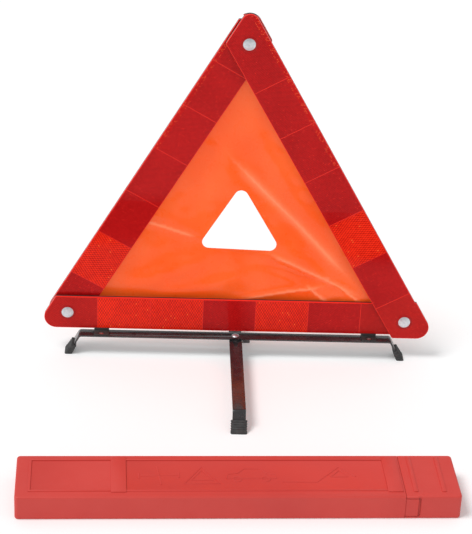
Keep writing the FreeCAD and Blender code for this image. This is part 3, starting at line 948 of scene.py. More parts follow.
    def clear_openings(self, shape: bmesh.types.BMesh, lens: BVHTree) -> None:
        """Drop the prisms round the rivets and over any hole or slot.

        Args:
            shape: The field.
            lens: The lens in the arm's own axes.
        """
        rivets = (Vector((0.0, 0.0)), Vector((self.length, 0.0)))
        lost = []
        for face in shape.faces:
            spot = face.calc_center_median()
            near = min((spot.to_2d() - rivet).length for rivet in rivets)
            hit = lens.ray_cast(Vector((spot.x, spot.y, MM)), Vector((0, 0, -1)))[0]
            if near < self.land_radius or hit is None or abs(hit.z) > TOUCH:
                lost.append(face)
        bmesh.ops.delete(shape, geom=lost, context="FACES")

    def close_below(self, shape: bmesh.types.BMesh) -> None:
        """Give a field a flat underside just inside the lens, so that it is a closed solid.

        Args:
            shape: The trimmed field.
        """
        bmesh.ops.translate(shape, verts=shape.verts, vec=(0, 0, self.lift))
        parts = shape.faces[:] + shape.edges[:] + shape.verts[:]
        made = bmesh.ops.extrude_face_region(shape, geom=parts, use_keep_orig=True)["geom"]
        for item in made:
            if isinstance(item, bmesh.types.BMVert):
                item.co.z = -self.lift

    def fields(self, lattice: PrismLattice, finishes: Finishes) -> None:
        """Build the arm's prism fields, one piece for each kind.

        Args:
            lattice: Lays the prisms.
            finishes: The object's finishes.
        """
        source = bmesh.new()
        source.from_mesh(frame["nodes"][self.name + "_lens"].data)
        bmesh.ops.transform(source, matrix=self.place.inverted(), verts=source.verts)
        lens = BVHTree.FromBMesh(source)
        source.free()
        dressed = {PrismKind.COARSE: finishes.coarse, PrismKind.FINE: finishes.fine,
                   PrismKind.EDGE: finishes.edge, PrismKind.END: finishes.end}
        parts: dict[PrismKind, bmesh.types.BMesh] = {}
        reach = self.width
        for seed, (start, end, kind) in enumerate(self.spans()):
            outline = self.outline(start, end)
            ranges = [(-reach, reach, kind)]
            if self.outer_side and start >= self.border_from:
                edge = self.outer_side * (self.half_flat - self.border_width)
                ranges = [(-reach, edge, PrismKind.EDGE), (edge, reach, kind)]
                if self.outer_side > 0:
                    ranges = [(-reach, edge, kind), (edge, reach, PrismKind.EDGE)]
            for low, high, one in ranges:
                side = self.width / 2 + self.outline_spare
                corners = [max(low, -side), min(high, side)]
                shape = lattice.fill((start, corners[0]), (end, corners[1]), one, dressed[one], seed)
                self.trim(shape, outline, start, end, low, high)
                self.clear_openings(shape, lens)
                self.close_below(shape)
                mesh = bpy.data.meshes.new("field")
                shape.to_mesh(mesh)
                shape.free()
                parts.setdefault(one, bmesh.new()).from_mesh(mesh)
                bpy.data.meshes.remove(mesh)
        for kind, shape in parts.items():
            bmesh.ops.recalc_face_normals(shape, faces=shape.faces)
            bmesh.ops.transform(shape, matrix=self.place, verts=shape.verts)
            mesh = bpy.data.meshes.new(self.name + "_" + kind.value)
            shape.to_mesh(mesh)
            shape.free()
            piece(f"{self.name}_{kind.value}_prisms", mesh, dressed[kind], self.body)

    def lands(self, finishes: Finishes) -> None:
        """Flat raised rings round the rivets, which end the prism fields; their dark finish is a
        painted shadow ring.

        Args:
            finishes: The object's finishes.
        """
        outer, inner, rise = self.land_radius + self.land_lip, self.land_hole, self.land_rise
        profile = [(inner, -self.land_sink), (outer, -self.land_sink), (outer, rise * 0.5),
                   (outer - rise, rise), (inner, rise)]
        shape = bmesh.new()
        for x in (0.0, self.length):
            lathe(profile, self.place @ Matrix.Translation((x, 0, 0)), shape=shape)
        piece(self.name + "_rivet_lands", to_mesh(shape, "lands"), finishes.shaded_land,
              self.body)

    def rear_cover(self, ladder: "RibLadder", finishes: Finishes) -> None:
        """Housing with broken edges, and the rails and ribs moulded on its back.

        Args:
            ladder: Repeats the ribs.
            finishes: The object's finishes.
        """
        piece(self.name + "_rear_cover", softened(self.name + "_housing", self.rear_edge),
              finishes.housing, self.body, [self.name + "_housing"])
        half = self.width / 2 - self.rear_inset
        span = self.length - 2 * self.rear_end
        rib, top = self.rear_rib_width, self.rear_rib_height
        single = bar((-rib / 2, -half, -top), (rib / 2, half, top), self.rear_rib_edge)
        shape = ladder.ribs(single, span, self.tile_length / 2, finishes.housing)
        for side in (-1, 1):
            middle = side * half
            bar((-rib, middle - rib / 2, -top), (span + rib, middle + rib / 2, top * 1.15),
                self.rear_rib_edge, shape)
        flip = Matrix.Rotation(math.pi, 4, "X")
        back = self.place @ Matrix.Translation((self.rear_end, 0, -self.thickness)) @ flip
        bmesh.ops.transform(shape, matrix=back, verts=shape.verts)
        piece(self.name + "_rear_ribs", to_mesh(shape, "ribs"), finishes.housing,
              self.body)


class RibLadder:
    """Repeats one rounded rib along a line."""

    def __init__(self) -> None:
        """Build the tree with inputs Count, Pitch, Rib and Material."""
        tree = ShapeTree("rib_ladder", {"Count": int, "Pitch": float, "Rib": bpy.types.Object,
                                        "Material": bpy.types.Material})
        step = tree.add("ShaderNodeCombineXYZ", {"X": tree.given("Pitch")})
        line = tree.add("GeometryNodeMeshLine", {"Count": tree.given("Count"),
                                                 "Offset": step.outputs[0]})
        rib = tree.add("GeometryNodeObjectInfo", {"Object": tree.given("Rib")})
        laid = tree.add("GeometryNodeInstanceOnPoints", {
            "Points": line.outputs[0], "Instance": rib.outputs["Geometry"]})
        tree.close(laid.outputs[0])
        self.tree = tree

    def ribs(self, single: bmesh.types.BMesh, length: float, pitch: float,
             material: bpy.types.Material) -> bmesh.types.BMesh:
        """Repeat one cross rib at an even pitch that fills a length exactly.

        Args:
            single: The rib, across the line's start; it can't be used afterwards.
            length: From the first rib's middle to the last one's.
            pitch: The pitch is close to this.
            material: The ribs' finish.

        Returns:
            All the ribs.
        """
        count = max(2, round(length / pitch) + 1)
        mesh = bpy.data.meshes.new("rib")
        single.to_mesh(mesh)
        single.free()
        holder = bpy.data.objects.new("rib", mesh)
        bpy.context.scene.collection.objects.link(holder)
        made = self.tree.run({"Count": count, "Pitch": length / (count - 1), "Rib": holder,
                              "Material": material})
        bpy.data.objects.remove(holder)
        shape = bmesh.new()
        shape.from_mesh(made)
        bpy.data.meshes.remove(made)
        return shape


# ---------------------------------------------------------------------------
# Sheet
# ---------------------------------------------------------------------------
@dataclass(frozen=True)
class Crease:
    """One crease: a line on the sheet, how far it stands out and how wide it is."""

    start: Point2                     # metres, from the middle of the lower rivet line
    end: Point2
    height: float                     # to the front when positive
    width: float
    sharp: bool = True
    fade_share: float = 0.3           # share of its length over which each end dies away

    def across(self, x: float, z: float) -> float:
        """Distance of a point from the crease's line."""
        run = Vector(self.end) - Vector(self.start)
        return abs((x - self.start[0]) * run.y - (z - self.start[1]) * run.x) / run.length

    def share(self, x: float, z: float) -> float:
        """How much of the crease is felt at a point.

        Args:
            x: Across the sheet, in metres.
            z: Up the sheet.

        Returns:
            From 0, away from the crease, to 1 on the middle of its line.
        """
        ax, az = self.start
        bx, bz = self.end[0] - ax, self.end[1] - az
        length = math.hypot(bx, bz)
        along = ((x - ax) * bx + (z - az) * bz) / length
        across = self.across(x, z)
        ending = self.fade_share * length
        fade = min(1.0, max(0.0, along / ending)) * min(1.0, max(0.0, (length - along) / ending))
        fade = fade * fade * (3 - 2 * fade)
        shape = math.exp(-across / self.width) if self.sharp else math.exp(-(across / self.width) ** 2)
        return fade * shape

    def rise(self, x: float, z: float) -> float:
        """How far the crease lifts the sheet at a point."""
        return self.height * self.share(x, z)

    def crest_highlight(self, x: float, z: float) -> float:
        """How pale the film is painted close to a sharp crest: partly strain whitening, partly painted
        highlight.
        """
        return self.share(x, z) ** 4 if self.sharp and self.height > 0 else 0.0


CREASES = (
    Crease((-50 * MM, 240 * MM), (170 * MM, 14 * MM), 6.0 * MM, 16 * MM),
    Crease((-15 * MM, 262 * MM), (110 * MM, 66 * MM), -4.0 * MM, 18 * MM, False),
    Crease((5 * MM, 96 * MM), (172 * MM, 16 * MM), 4.6 * MM, 8 * MM),
    Crease((15 * MM, 74 * MM), (150 * MM, 28 * MM), -3.2 * MM, 8 * MM, False),
    Crease((-25 * MM, 12 * MM), (130 * MM, 46 * MM), 2.6 * MM, 5 * MM),
    Crease((74 * MM, 48 * MM), (116 * MM, 10 * MM), 3.0 * MM, 5 * MM),
    Crease((112 * MM, 48 * MM), (156 * MM, 12 * MM), 2.8 * MM, 5 * MM),
    Crease((-130 * MM, 124 * MM), (-34 * MM, 94 * MM), 1.8 * MM, 5 * MM),
    Crease((-150 * MM, 24 * MM), (-20 * MM, 74 * MM), 1.8 * MM, 14 * MM, False),
    Crease((-120 * MM, 16 * MM), (30 * MM, 50 * MM), 1.6 * MM, 10 * MM, False),
    Crease((4 * MM, 290 * MM), (104 * MM, 140 * MM), 2.4 * MM, 18 * MM, False),
    Crease((-60 * MM, 150 * MM), (-30 * MM, 235 * MM), -2.2 * MM, 20 * MM, False),
)


@dataclass
class FluorescentSheet:
    """Film stretched behind the arms from three eyelets, with its window and its creases."""

    corner_radius: float = 10 * MM
    thickness: float = 0.3 * MM
    window_left: float = 85.0 * MM    # height of the window's lower corners
    window_right: float = 84.7 * MM
    window_top: float = 169 * MM
    window_half_width: float = 49.5 * MM
    window_radius: float = 8 * MM
    eyelet_hole: float = 6.0 * MM
    grid: float = 3.2 * MM
    keep: float = 0.06                # share of its height left when the arms are folded
    arm_clearance: float = 0.45 * MM
    slack: float = 1.5 * MM           # how far the middle of the sheet hangs to the back
    tight_radius: float = 9 * MM      # flat round an eyelet up to here
    tight_fade: float = 40 * MM       # the slack comes in over this distance
    wave_rise: float = 0.9 * MM       # slow waves of the film
    wave_size: float = 38 * MM
    ripple_rise: float = 0.25 * MM
    ripple_size: float = 14 * MM
    base_cover: float = 22 * MM       # the lower arm covers the sheet up to here
    arm_cover: float = 24 * MM        # the left arm covers it this far from its own middle
    corner_reach: float = 40 * MM     # length of the lower right corner, tucked closer in
    corner_tuck: float = 0.3 * MM
    point_margin: float = 1.2 * MM    # inner points stay this far from an edge
    crease_margin: float = 0.3        # and this share of the grid from a crease line
    eyelet_steps: int = 24

    def __post_init__(self) -> None:
        """Find the three corners, the line of the lower two and the backs of the arms."""
        self.left, self.right, self.top = (
            centre_of(side + "_eyelet") for side in ("left", "right", "top"))
        self.line = self.left.z
        self.base_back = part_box("base_housing")[1].y
        self.arm_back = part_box("left_arm_housing")[1].y

    def outline(self) -> list[Vector]:
        """Rounded triangle round the three eyelets, from the rivet line's middle.

        Returns:
            The outline's points as 2-D vectors.
        """
        reach, radius = 2 * self.corner_radius, self.corner_radius
        slant = math.cos(math.radians(30))
        rise = self.top.z - self.line
        return rounded_polygon([
            (0.0, rise + reach, radius),
            (self.left.x - reach * slant, -radius, radius),
            (self.right.x + reach * slant, -radius, radius)], 8)

    def window(self) -> list[Vector]:
        """Rounded triangular window.

        Returns:
            The window's points as 2-D vectors.
        """
        return rounded_polygon([
            (0.0, self.window_top, self.window_radius),
            (-self.window_half_width, self.window_left, self.window_radius),
            (self.window_half_width, self.window_right, self.window_radius)], 8)

    def eyelet_rings(self) -> list[list[Vector]]:
        """Outlines of the three eyelet holes.

        Returns:
            One ring of 2-D points for each eyelet.
        """
        angles = [math.tau * k / self.eyelet_steps for k in range(self.eyelet_steps)]
        return [[Vector((place.x + self.eyelet_hole * math.cos(angle),
                         place.z - self.line + self.eyelet_hole * math.sin(angle)))
                 for angle in angles] for place in (self.left, self.right, self.top)]

    def depth(self, x: float, z: float) -> float:
        """Where the sheet lies at a point, with its creases.

        Args:
            x: Across the sheet, in metres.
            z: Over the line through the lower eyelets.

        Returns:
            Y of the sheet there.
        """
        share_z = z / (self.top.z - self.line)
        up, across = self.top - self.left, self.right - self.left
        share_x = (x - self.left.x - share_z * up.x) / across.x
        flat = self.left.y + share_z * up.y + share_x * across.y
        near = min(math.hypot(x - p.x, z - (p.z - self.line))
                   for p in (self.left, self.right, self.top))
        calm = min(1.0, max(0.0, (near - self.tight_radius) / self.tight_fade))
        rise = sum(crease.rise(x, z) for crease in CREASES)
        rise += self.wave_rise * noise.noise(Vector((x, z, 0.0)) / self.wave_size)
        rise += self.ripple_rise * noise.noise(Vector((x, z, 7.0)) / self.ripple_size)
        return max(flat + calm * (self.slack - rise), self.nearest(x, z))

    def nearest(self, x: float, z: float) -> float:
        """Least Y that keeps the sheet behind the arms at a point.

        Args:
            x: Across the sheet, in metres.
            z: Over the line through the lower eyelets.

        Returns:
            The limit, far to the front where no arm covers the sheet.
        """
        gap = self.arm_clearance + self.thickness
        limit = -1.0
        if z < self.base_cover:
            tuck = self.corner_tuck if x > self.right.x - self.corner_reach else 0.0
            limit = self.base_back + gap - tuck
        left_edge = (x - self.left.x) * math.cos(math.radians(30)) - z * 0.5
        if left_edge < self.arm_cover:
            limit = max(limit, self.arm_back + gap)
        return limit

    def flat_mesh(self) -> tuple[list[Vector], list[list[int]]]:
        """Triangulate the flat cut, with its creases as edges.

        Returns:
            The points and, for each triangle, the numbers of its corners.
        """
        outline, window, rings = self.outline(), self.window(), self.eyelet_rings()
        points, edges = [], []
        for loop in [outline, window, *rings]:
            first = len(points)
            points += loop
            edges += [(first + k, first + (k + 1) % len(loop)) for k in range(len(loop))]
        for crease in (one for one in CREASES if one.sharp):
            start, end = Vector(crease.start), Vector(crease.end)
            count = round((end - start).length / self.grid)
            line = [start.lerp(end, k / count) for k in range(count + 1)]
            for a, b in zip(line, line[1:]):
                if all(self.on_film(spot, outline, window) for spot in (a, b)):
                    edges.append((len(points), len(points) + 1))
                    points += [a, b]
        low_x, high_x = min(p.x for p in outline), max(p.x for p in outline)
        low_z, high_z = min(p.y for p in outline), max(p.y for p in outline)
        row_pitch = self.grid * math.sqrt(3) / 2
        for row in range(1, int((high_z - low_z) / row_pitch)):
            for column in range(int((high_x - low_x) / self.grid)):
                spot = Vector((low_x + (column + 0.5 * (row % 2)) * self.grid, low_z + row * row_pitch))
                off_lines = all(crease.across(spot.x, spot.y) > self.crease_margin * self.grid
                                for crease in CREASES if crease.sharp)
                if off_lines and self.on_film(spot, outline, window):
                    points.append(spot)
        border = [list(range(len(outline)))]
        verts, _, faces, *_ = geometry.delaunay_2d_cdt(points, edges, border, 1, 1e-6)
        kept = []
        for face in faces:
            middle = sum((verts[i] for i in face), Vector((0, 0))) / len(face)
            if not any(self.inside(middle, hole, 0.0) for hole in [window, *rings]):
                kept.append(face)
        return verts, kept

    def on_film(self, spot: Vector, outline: Sequence[Vector], window: Sequence[Vector]) -> bool:
        """True for a point on the sheet, clear of its edges.

        Args:
            spot: The point, from the middle of the line through the lower eyelets.
            outline: The sheet's outline.
            window: The window's outline.

        Returns:
            Whether the sheet may have a point there.
        """
        hole = self.eyelet_hole + self.point_margin
        clear = all((spot - Vector((p.x, p.z - self.line))).length > hole
                    for p in (self.left, self.right, self.top))
        return (clear and self.inside(spot, outline, self.point_margin)
                and not self.inside(spot, window, -self.point_margin))

    @staticmethod
    def inside(spot: Vector, loop: Sequence[Vector], margin: float) -> bool:
        """True for a point inside a loop by at least a margin.

        Args:
            spot: The point.
            loop: Corners of a convex loop, anticlockwise.
            margin: Distance to keep from every side; below 0 the point may be outside by as much.

        Returns:
            Whether the point is inside.
        """
        for a, b in zip(loop, list(loop[1:]) + [loop[0]]):
            run = b - a
            away = run.x * (spot.y - a.y) - run.y * (spot.x - a.x)
            if run.length > 1e-9 and away < margin * run.length:
                return False
        return True

    def build(self, finishes: Finishes) -> bpy.types.Object:
        """Make the sheet.

        Args:
            finishes: The object's finishes.

        Returns:
            The sheet's object.
        """
        flat, faces = self.flat_mesh()
        shape = bmesh.new()
        verts = [shape.verts.new((p.x, self.depth(p.x, p.y), self.line + p.y)) for p in flat]
        for face in faces:
            shape.faces.new([verts[i] for i in face])
        bmesh.ops.recalc_face_normals(shape, faces=shape.faces)
        bmesh.ops.solidify(shape, geom=shape.faces[:], thickness=self.thickness)
        mesh = to_mesh(shape, "sheet", 60.0)
        # pale along the crease crests, partly painted as highlight
        crest_highlight = [max(crease.crest_highlight(vert.co.x, vert.co.z - self.line) for crease in CREASES)
                  for vert in mesh.vertices]
        mesh.attributes.new("crest_highlight", "FLOAT", "POINT").data.foreach_set("value", crest_highlight)
        sheet = piece("sheet_film", mesh, finishes.film, "stand",
                      ["fluorescent_sheet"])
        outline = self.outline()
        cut = polygon_area(outline) - polygon_area(self.window())
        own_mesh(sheet)
        return sheet


# ---------------------------------------------------------------------------
# Rivets and eyelets
# ---------------------------------------------------------------------------
@dataclass
class TurnedParts:
    """Corner rivets with a dimpled dome, and the rolled eyelets of the sheet."""

    head_radius: float = 7.0 * MM
    head_height: float = 1.6 * MM
    rim_height: float = 0.35 * MM
    dimple_radius: float = 1.1 * MM
    dimple_depth: float = 0.25 * MM
    dome_power: float = 2.4           # how steeply the dome falls towards its rim
    dome_steps: int = 8
    shank_radius: float = 3.0 * MM
    tail_radius: float = 5.0 * MM
    tail_height: float = 1.0 * MM
    tail_edge: float = 0.3 * MM
    punch_radius: float = 1.8 * MM    # mark that setting the rivet leaves in its tail
    punch_floor: float = 1.2 * MM
    punch_depth: float = 0.5 * MM
    arm_eyelet_hole: float = 2.0 * MM
    barrel: float = 1.1 * MM          # wall of an eyelet's rolled barrel
    barrel_foot: float = 1.6 * MM
    eyelet_edge: float = 0.3 * MM

    def rivet_profile(self, length: float) -> list[Point2]:
        """Profile from the dimple round the dome, down the shank and over the tail.

        Args:
            length: From the top of the dome to the tail's end.

        Returns:
            (radius, height) points, with the dome's top at height 0.
        """
        points: list[Point2] = [(0.0, -self.dimple_depth)]
        points += [(self.dimple_radius * (0.35 + 0.65 * k / 3),
                    -self.dimple_depth * (1 - k / 3) ** 2) for k in range(4)]
        ball = self.head_height - self.rim_height
        start = self.dimple_radius * 1.3
        for k in range(self.dome_steps + 1):
            share = math.sin(math.pi / 2 * k / self.dome_steps)
            radius = start + (self.head_radius - start) * share
            points.append((radius, -ball * (radius / self.head_radius) ** self.dome_power))
        points.append((self.head_radius, -self.head_height))
        tail = self.tail_height - length
        points += [(self.shank_radius, -self.head_height), (self.shank_radius, tail)]
        edge, punch = self.tail_edge, self.punch_depth - length
        points += [(self.tail_radius - edge, tail), (self.tail_radius, tail - edge),
                   (self.tail_radius, edge - length), (self.tail_radius - edge, -length),
                   (self.punch_radius, -length), (self.punch_floor, punch), (0.0, punch)]
        return points

    def rivet(self, side: str, body: str, finishes: Finishes) -> None:
        """One corner rivet in place of its CAD node.

        Args:
            side: Which corner: left, right or top.
            body: The CAD body that it moves with.
            finishes: The object's finishes.
        """
        node = side + "_rivet"
        low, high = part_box(node)
        middle = (low + high) / 2
        place = facing(Vector((middle.x, low.y, middle.z)), Vector((0, -1, 0)))
        shape = lathe(self.rivet_profile(high.y - low.y), place, 64)
        piece(node + "_turned", to_mesh(shape, node, 40.0), finishes.aluminium, body,
              [node])

    def eyelet(self, side: str, body: str, hole: float, finishes: Finishes) -> None:
        """One rolled eyelet in place of its CAD node: a washer with a raised, rounded barrel.

        Args:
            side: Which corner: left, right or top.
            body: The CAD body that it moves with.
            hole: Radius of its hole.
            finishes: The object's finishes.
        """
        node = side + "_eyelet"
        low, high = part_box(node)
        middle, radius = (low + high) / 2, (high.x - low.x) / 2
        half, edge = (high.y - low.y) / 2, radius - self.eyelet_edge
        profile = [(hole, -half), (hole, half * 0.5), (hole + half * 0.4, half),
                   (hole + self.barrel, half), (hole + self.barrel_foot, half * 0.35),
                   (edge, half * 0.3), (radius, 0.0), (edge, -half)]
        shape = lathe(profile, facing(middle, Vector((0, 1, 0))), 48)
        piece(node + "_ring", to_mesh(shape, node, 40.0), finishes.aluminium, body,
              [node])

    def build(self, finishes: Finishes) -> None:
        """Make every turned part.

        Args:
            finishes: The object's finishes.
        """
        for side, body in (("left", "stand"), ("right", "stand"), ("top", "right_arm")):
            self.rivet(side, body, finishes)
        for side, body, hole in (("left", "stand", self.shank_radius),
                                 ("right", "stand", self.shank_radius),
                                 ("top", "left_arm", self.arm_eyelet_hole)):
            self.eyelet(side, body, hole, finishes)


# ---------------------------------------------------------------------------
# Stand
# ---------------------------------------------------------------------------
@dataclass
class CrossStand:
    """Painted steel strips, ribbed rubber boots and clips with their screws."""

    side_bend: float = 185.4 * MM     # from the middle to a bend of the side strip
    leg_bend: float = 160 * MM
    strip_thickness: float = 2.0 * MM
    boot_length: float = 13.5 * MM
    boot_half_width: float = 9.3 * MM
    top_half: float = 3.1 * MM
    foot_half: float = 4.3 * MM
    corner: float = 2.0 * MM
    rib_pitch: float = 2.75 * MM
    rib_depth: float = 0.55 * MM
    rib_shape: float = 0.6            # below 1 the grooves are narrower than the ribs
    rings_per_rib: int = 6
    plain_start: float = 2.0 * MM     # the boot has no ribs before here
    plain_end: float = 1.5 * MM
    mouth_edge: float = 0.5 * MM
    metal_edge: float = 0.25 * MM     # rolled edge of the strips, and edge of the clips
    screw_shank: float = 1.4 * MM
    screw_cone: float = 1.0 * MM      # depth of the countersunk head
    screw_edge: Point2 = (0.2 * MM, 0.1 * MM)
    recess: tuple[Point2, ...] = ((0.0, -0.45 * MM), (0.5 * MM, -0.4 * MM), (0.75 * MM, 0.0))

    def build(self, finishes: Finishes) -> None:
        """Make every piece of the stand.

        Args:
            finishes: The object's finishes.
        """
        piece("side_strip_painted", softened("side_strip", self.metal_edge), finishes.paint, "stand",
              ["side_strip"])
        piece("cross_leg_painted", softened("cross_leg", self.metal_edge), finishes.paint, "cross_leg",
              ["cross_leg"])
        for side in ("left", "right"):
            piece(side + "_clip_moulded", softened(side + "_clip", self.metal_edge), finishes.clip,
                  "stand", [side + "_clip"])
            self.screw(side, finishes)
        feet = {"left": (-1, 0), "right": (1, 0), "front": (0, -1), "rear": (0, 1)}
        for name, direction in feet.items():
            self.boot(name, Vector((*direction, 0)), finishes)

    def screw(self, side: str, finishes: Finishes) -> None:
        """Countersunk screw with a round recess in its head.

        Args:
            side: Which clip: left or right.
            finishes: The object's finishes.
        """
        node = side + "_clip_screw"
        low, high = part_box(node)
        middle = (low + high) / 2
        radius, shank = (high.x - low.x) / 2, self.screw_shank
        depth = high.z - low.z
        profile = [*self.recess, (radius - self.screw_edge[0], 0.0), (radius, -self.screw_edge[1]),
                   (shank, -self.screw_cone), (shank, -depth), (0.0, -depth)]
        shape = lathe(profile, facing(Vector((middle.x, middle.y, high.z)), Vector((0, 0, 1))), 40)
        piece(node + "_turned", to_mesh(shape, node), finishes.zinc, "stand", [node])

    def boot(self, name: str, out: Vector, finishes: Finishes) -> None:
        """Ribbed rubber boot, lofted down the slope of its strip and cut flat at the ground.

        Args:
            name: Which foot: left, right, front or rear.
            out: Direction from the middle of the stand to the foot.
            finishes: The object's finishes.
        """
        node, body = name + "_foot_boot", "stand" if out.x else "cross_leg"
        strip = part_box("side_strip" if out.x else "cross_leg")[1].z
        bend = out * (self.side_bend if out.x else self.leg_bend)
        bend.z = strip - self.strip_thickness / 2
        foot = Vector(next(m["pos_m"] for m in frame["record"]["mounts"]
                           if m["name"] == name + "_foot_face"))
        run = foot - bend
        reach = run.length
        down = run.normalized()
        across = Vector((0, 0, 1)).cross(out)
        normal = down.cross(across)
        shape = bmesh.new()
        rings = []
        length = self.boot_length + 2 * self.foot_half
        count = round(length / (self.rib_pitch / self.rings_per_rib))
        for step in range(count + 1):
            s = length * step / count
            share = min(1.0, s / self.boot_length)
            wave = 0.5 - 0.5 * math.cos(math.tau * s / self.rib_pitch)
            ribbed = 1.0 if self.plain_start < s < self.boot_length - self.plain_end else 0.0
            inset = self.rib_depth * ribbed * (1 - wave ** self.rib_shape)
            if step == 0:
                inset = self.mouth_edge
            half = self.top_half + (self.foot_half - self.top_half) * share - inset
            wide = self.boot_half_width - inset
            outline = rounded_polygon([(wide, half, self.corner), (-wide, half, self.corner),
                                       (-wide, -half, self.corner), (wide, -half, self.corner)], 5)
            middle = bend + down * (reach - self.boot_length + s)
            rings.append([shape.verts.new(middle + across * p.x + normal * p.y) for p in outline])
        for low, high in zip(rings, rings[1:]):
            for i in range(len(low)):
                j = (i + 1) % len(low)
                shape.faces.new((low[i], low[j], high[j], high[i]))
        shape.faces.new(rings[0])
        shape.faces.new(rings[-1])
        parts = shape.verts[:] + shape.edges[:] + shape.faces[:]
        cut = bmesh.ops.bisect_plane(shape, geom=parts, dist=1e-7, plane_co=(0, 0, 0),
                                     plane_no=(0, 0, -1), clear_outer=True)
        rim = [item for item in cut["geom_cut"] if isinstance(item, bmesh.types.BMEdge)]
        bmesh.ops.holes_fill(shape, edges=rim)
        piece(name + "_boot_ribbed", to_mesh(shape, node, 50.0), finishes.rubber, body,
              [node])


# ---------------------------------------------------------------------------
# Storage case
# ---------------------------------------------------------------------------
@dataclass
class StorageCase:
    """Moulded case: softened shells, framed panels, embossed signs and the living hinge."""

    cap_length: float = 59 * MM
    panel_start: float = 16 * MM
    short_panel: float = 83 * MM
    band_width: float = 16 * MM
    edge_radius: float = 2 * MM
    front_margin: float = 13 * MM
    rear_margin: float = 10 * MM
    relief: float = 0.5 * MM
    frame_width: float = 2.4 * MM
    frame_rise: float = 0.6 * MM
    stroke_width: float = 1.5 * MM
    stroke_rise: float = 0.55 * MM
    rib_places: tuple[float, float] = (9 * MM, 39 * MM)
    rib_width: float = 4.5 * MM
    rib_rise: float = 1.1 * MM
    band_front_margin: float = 8.5 * MM
    band_rear_margin: float = 4.5 * MM
    hinge_inset: float = 14.5 * MM
    web_half: float = 2.2 * MM
    web_depth: float = 0.95 * MM      # behind the front face
    web_thickness: float = 0.35 * MM
    groove_half: float = 1.5 * MM
    groove_edge: float = 0.4 * MM
    line_half: float = 0.4 * MM
    line_edge: float = 0.1 * MM
    line_depth: float = 0.6 * MM
    cut_spare: float = 2.0 * MM       # a cutter reaches this far past the surface
    groove_shift: float = 0.3 * MM
    hinge_margin: float = 3.2 * MM
    web_steps: int = 8
    bend_half: float = 0.9 * MM       # the web bends over this length on each side
    shell_edge: float = 0.22 * MM
    bead_edge: float = 0.3 * MM
    bar_edge: float = 0.45 * MM

    def __post_init__(self) -> None:
        """Find the case's own axes from the longest straight edge of its body."""
        shape = bmesh.new()
        shape.from_mesh(frame["nodes"]["case_body"].data)
        bmesh.ops.remove_doubles(shape, verts=shape.verts, dist=WELD)
        bmesh.ops.dissolve_limit(shape, angle_limit=math.radians(1), verts=shape.verts,
                                 edges=shape.edges)
        longest = max(shape.edges, key=lambda edge: edge.calc_length())
        run = longest.verts[1].co - longest.verts[0].co
        shape.free()
        run = run if run.x > 0 else -run
        angle = math.atan2(run.y, run.x)
        turn = Matrix.Rotation(angle, 4, "Z")
        points = [turn.inverted() @ vert.co for node in ("case_body", "case_cap")
                  for vert in frame["nodes"][node].data.vertices]
        low = Vector([min(p[k] for p in points) for k in range(3)])
        high = Vector([max(p[k] for p in points) for k in range(3)])
        self.half_length, self.half_width = (high.x - low.x) / 2, (high.y - low.y) / 2
        self.place = turn @ Matrix.Translation(((low.x + high.x) / 2, (low.y + high.y) / 2, 0))
        self.top = high.z - self.relief
        self.seam = self.half_length - self.cap_length
        log.info("case turned %.3f degrees, %.1f mm long", math.degrees(angle), 2000 * self.half_length)

    def panels(self) -> list[tuple[float, float]]:
        """Start and end of the two sunk panels, along the case.

        Returns:
            (start, end) of the short panel and of the long one.
        """
        first = self.panel_start - self.half_length
        second = first + self.short_panel + self.band_width
        return [(first, first + self.short_panel),
                (second, self.seam - self.band_width - self.edge_radius)]

    def finish_piece(self, name: str, shape: bmesh.types.BMesh, body: str, finishes: Finishes) -> None:
        """Place a piece of relief on the case.

        Args:
            name: The piece's name.
            shape: Its shape, in the case's own axes; it can't be used afterwards.
            body: The CAD body that it moves with.
            finishes: The object's finishes.
        """
        bmesh.ops.transform(shape, matrix=self.place, verts=shape.verts)
        piece(name, to_mesh(shape, name), finishes.case, body)

    def frames(self, finishes: Finishes) -> None:
        """Raised beads round the two sunk panels.

        Args:
            finishes: The object's finishes.
        """
        shape = bmesh.new()
        low_y = self.front_margin - self.half_width
        high_y = self.half_width - self.rear_margin
        bottom, top, width = self.top - self.relief, self.top + self.frame_rise, self.frame_width
        for start, end in self.panels():
            bar((start - width, low_y - width, bottom), (end + width, low_y, top),
                self.bead_edge, shape)
            bar((start - width, high_y, bottom), (end + width, high_y + width, top),
                self.bead_edge, shape)
        start = self.panels()[0][0]
        just_lower = top * 0.9999    # so that no two tops lie in one plane
        bar((start - width, low_y - width, bottom), (start, high_y + width, just_lower),
            self.bead_edge, shape)
        self.finish_piece("case_panel_beads", shape, "case", finishes)

    def groove(self) -> bmesh.types.BMesh:
        """Shape of the channel along the hinge line and of the fine line down the seam.

        Returns:
            The shape to cut out of both parts of the case.
        """
        middle, front = self.seam + self.hinge_inset + self.groove_shift, -self.half_width
        low, high = -self.cut_spare / 2, self.top + self.cut_spare
        shape = bar((middle - self.groove_half, front - self.cut_spare, low),
                    (middle + self.groove_half, front + self.web_depth, high), self.groove_edge)
        bar((self.seam - self.line_half, front - self.cut_spare, low),
            (self.seam + self.line_half, front + self.line_depth, high), self.line_edge, shape)
        bmesh.ops.transform(shape, matrix=self.place, verts=shape.verts)
        return shape

    def cross_bar(self, start: float, width: float, shape: bmesh.types.BMesh) -> None:
        """Raised bar across the case, from start along it.

        Args:
            start: Where the bar starts.
            width: Its width along the case.
            shape: The bmesh that it is added to.
        """
        bar((start, self.band_front_margin - self.half_width, self.top - self.relief),
            (start + width, self.half_width - self.band_rear_margin, self.top + self.rib_rise),
            self.bar_edge, shape)

    def bands(self, finishes: Finishes) -> None:
        """Broad bars over the ends of the panels.

        Args:
            finishes: The object's finishes.
        """
        shape = bmesh.new()
        for _, end in self.panels():
            self.cross_bar(end, self.band_width, shape)
        self.finish_piece("case_bands", shape, "case", finishes)

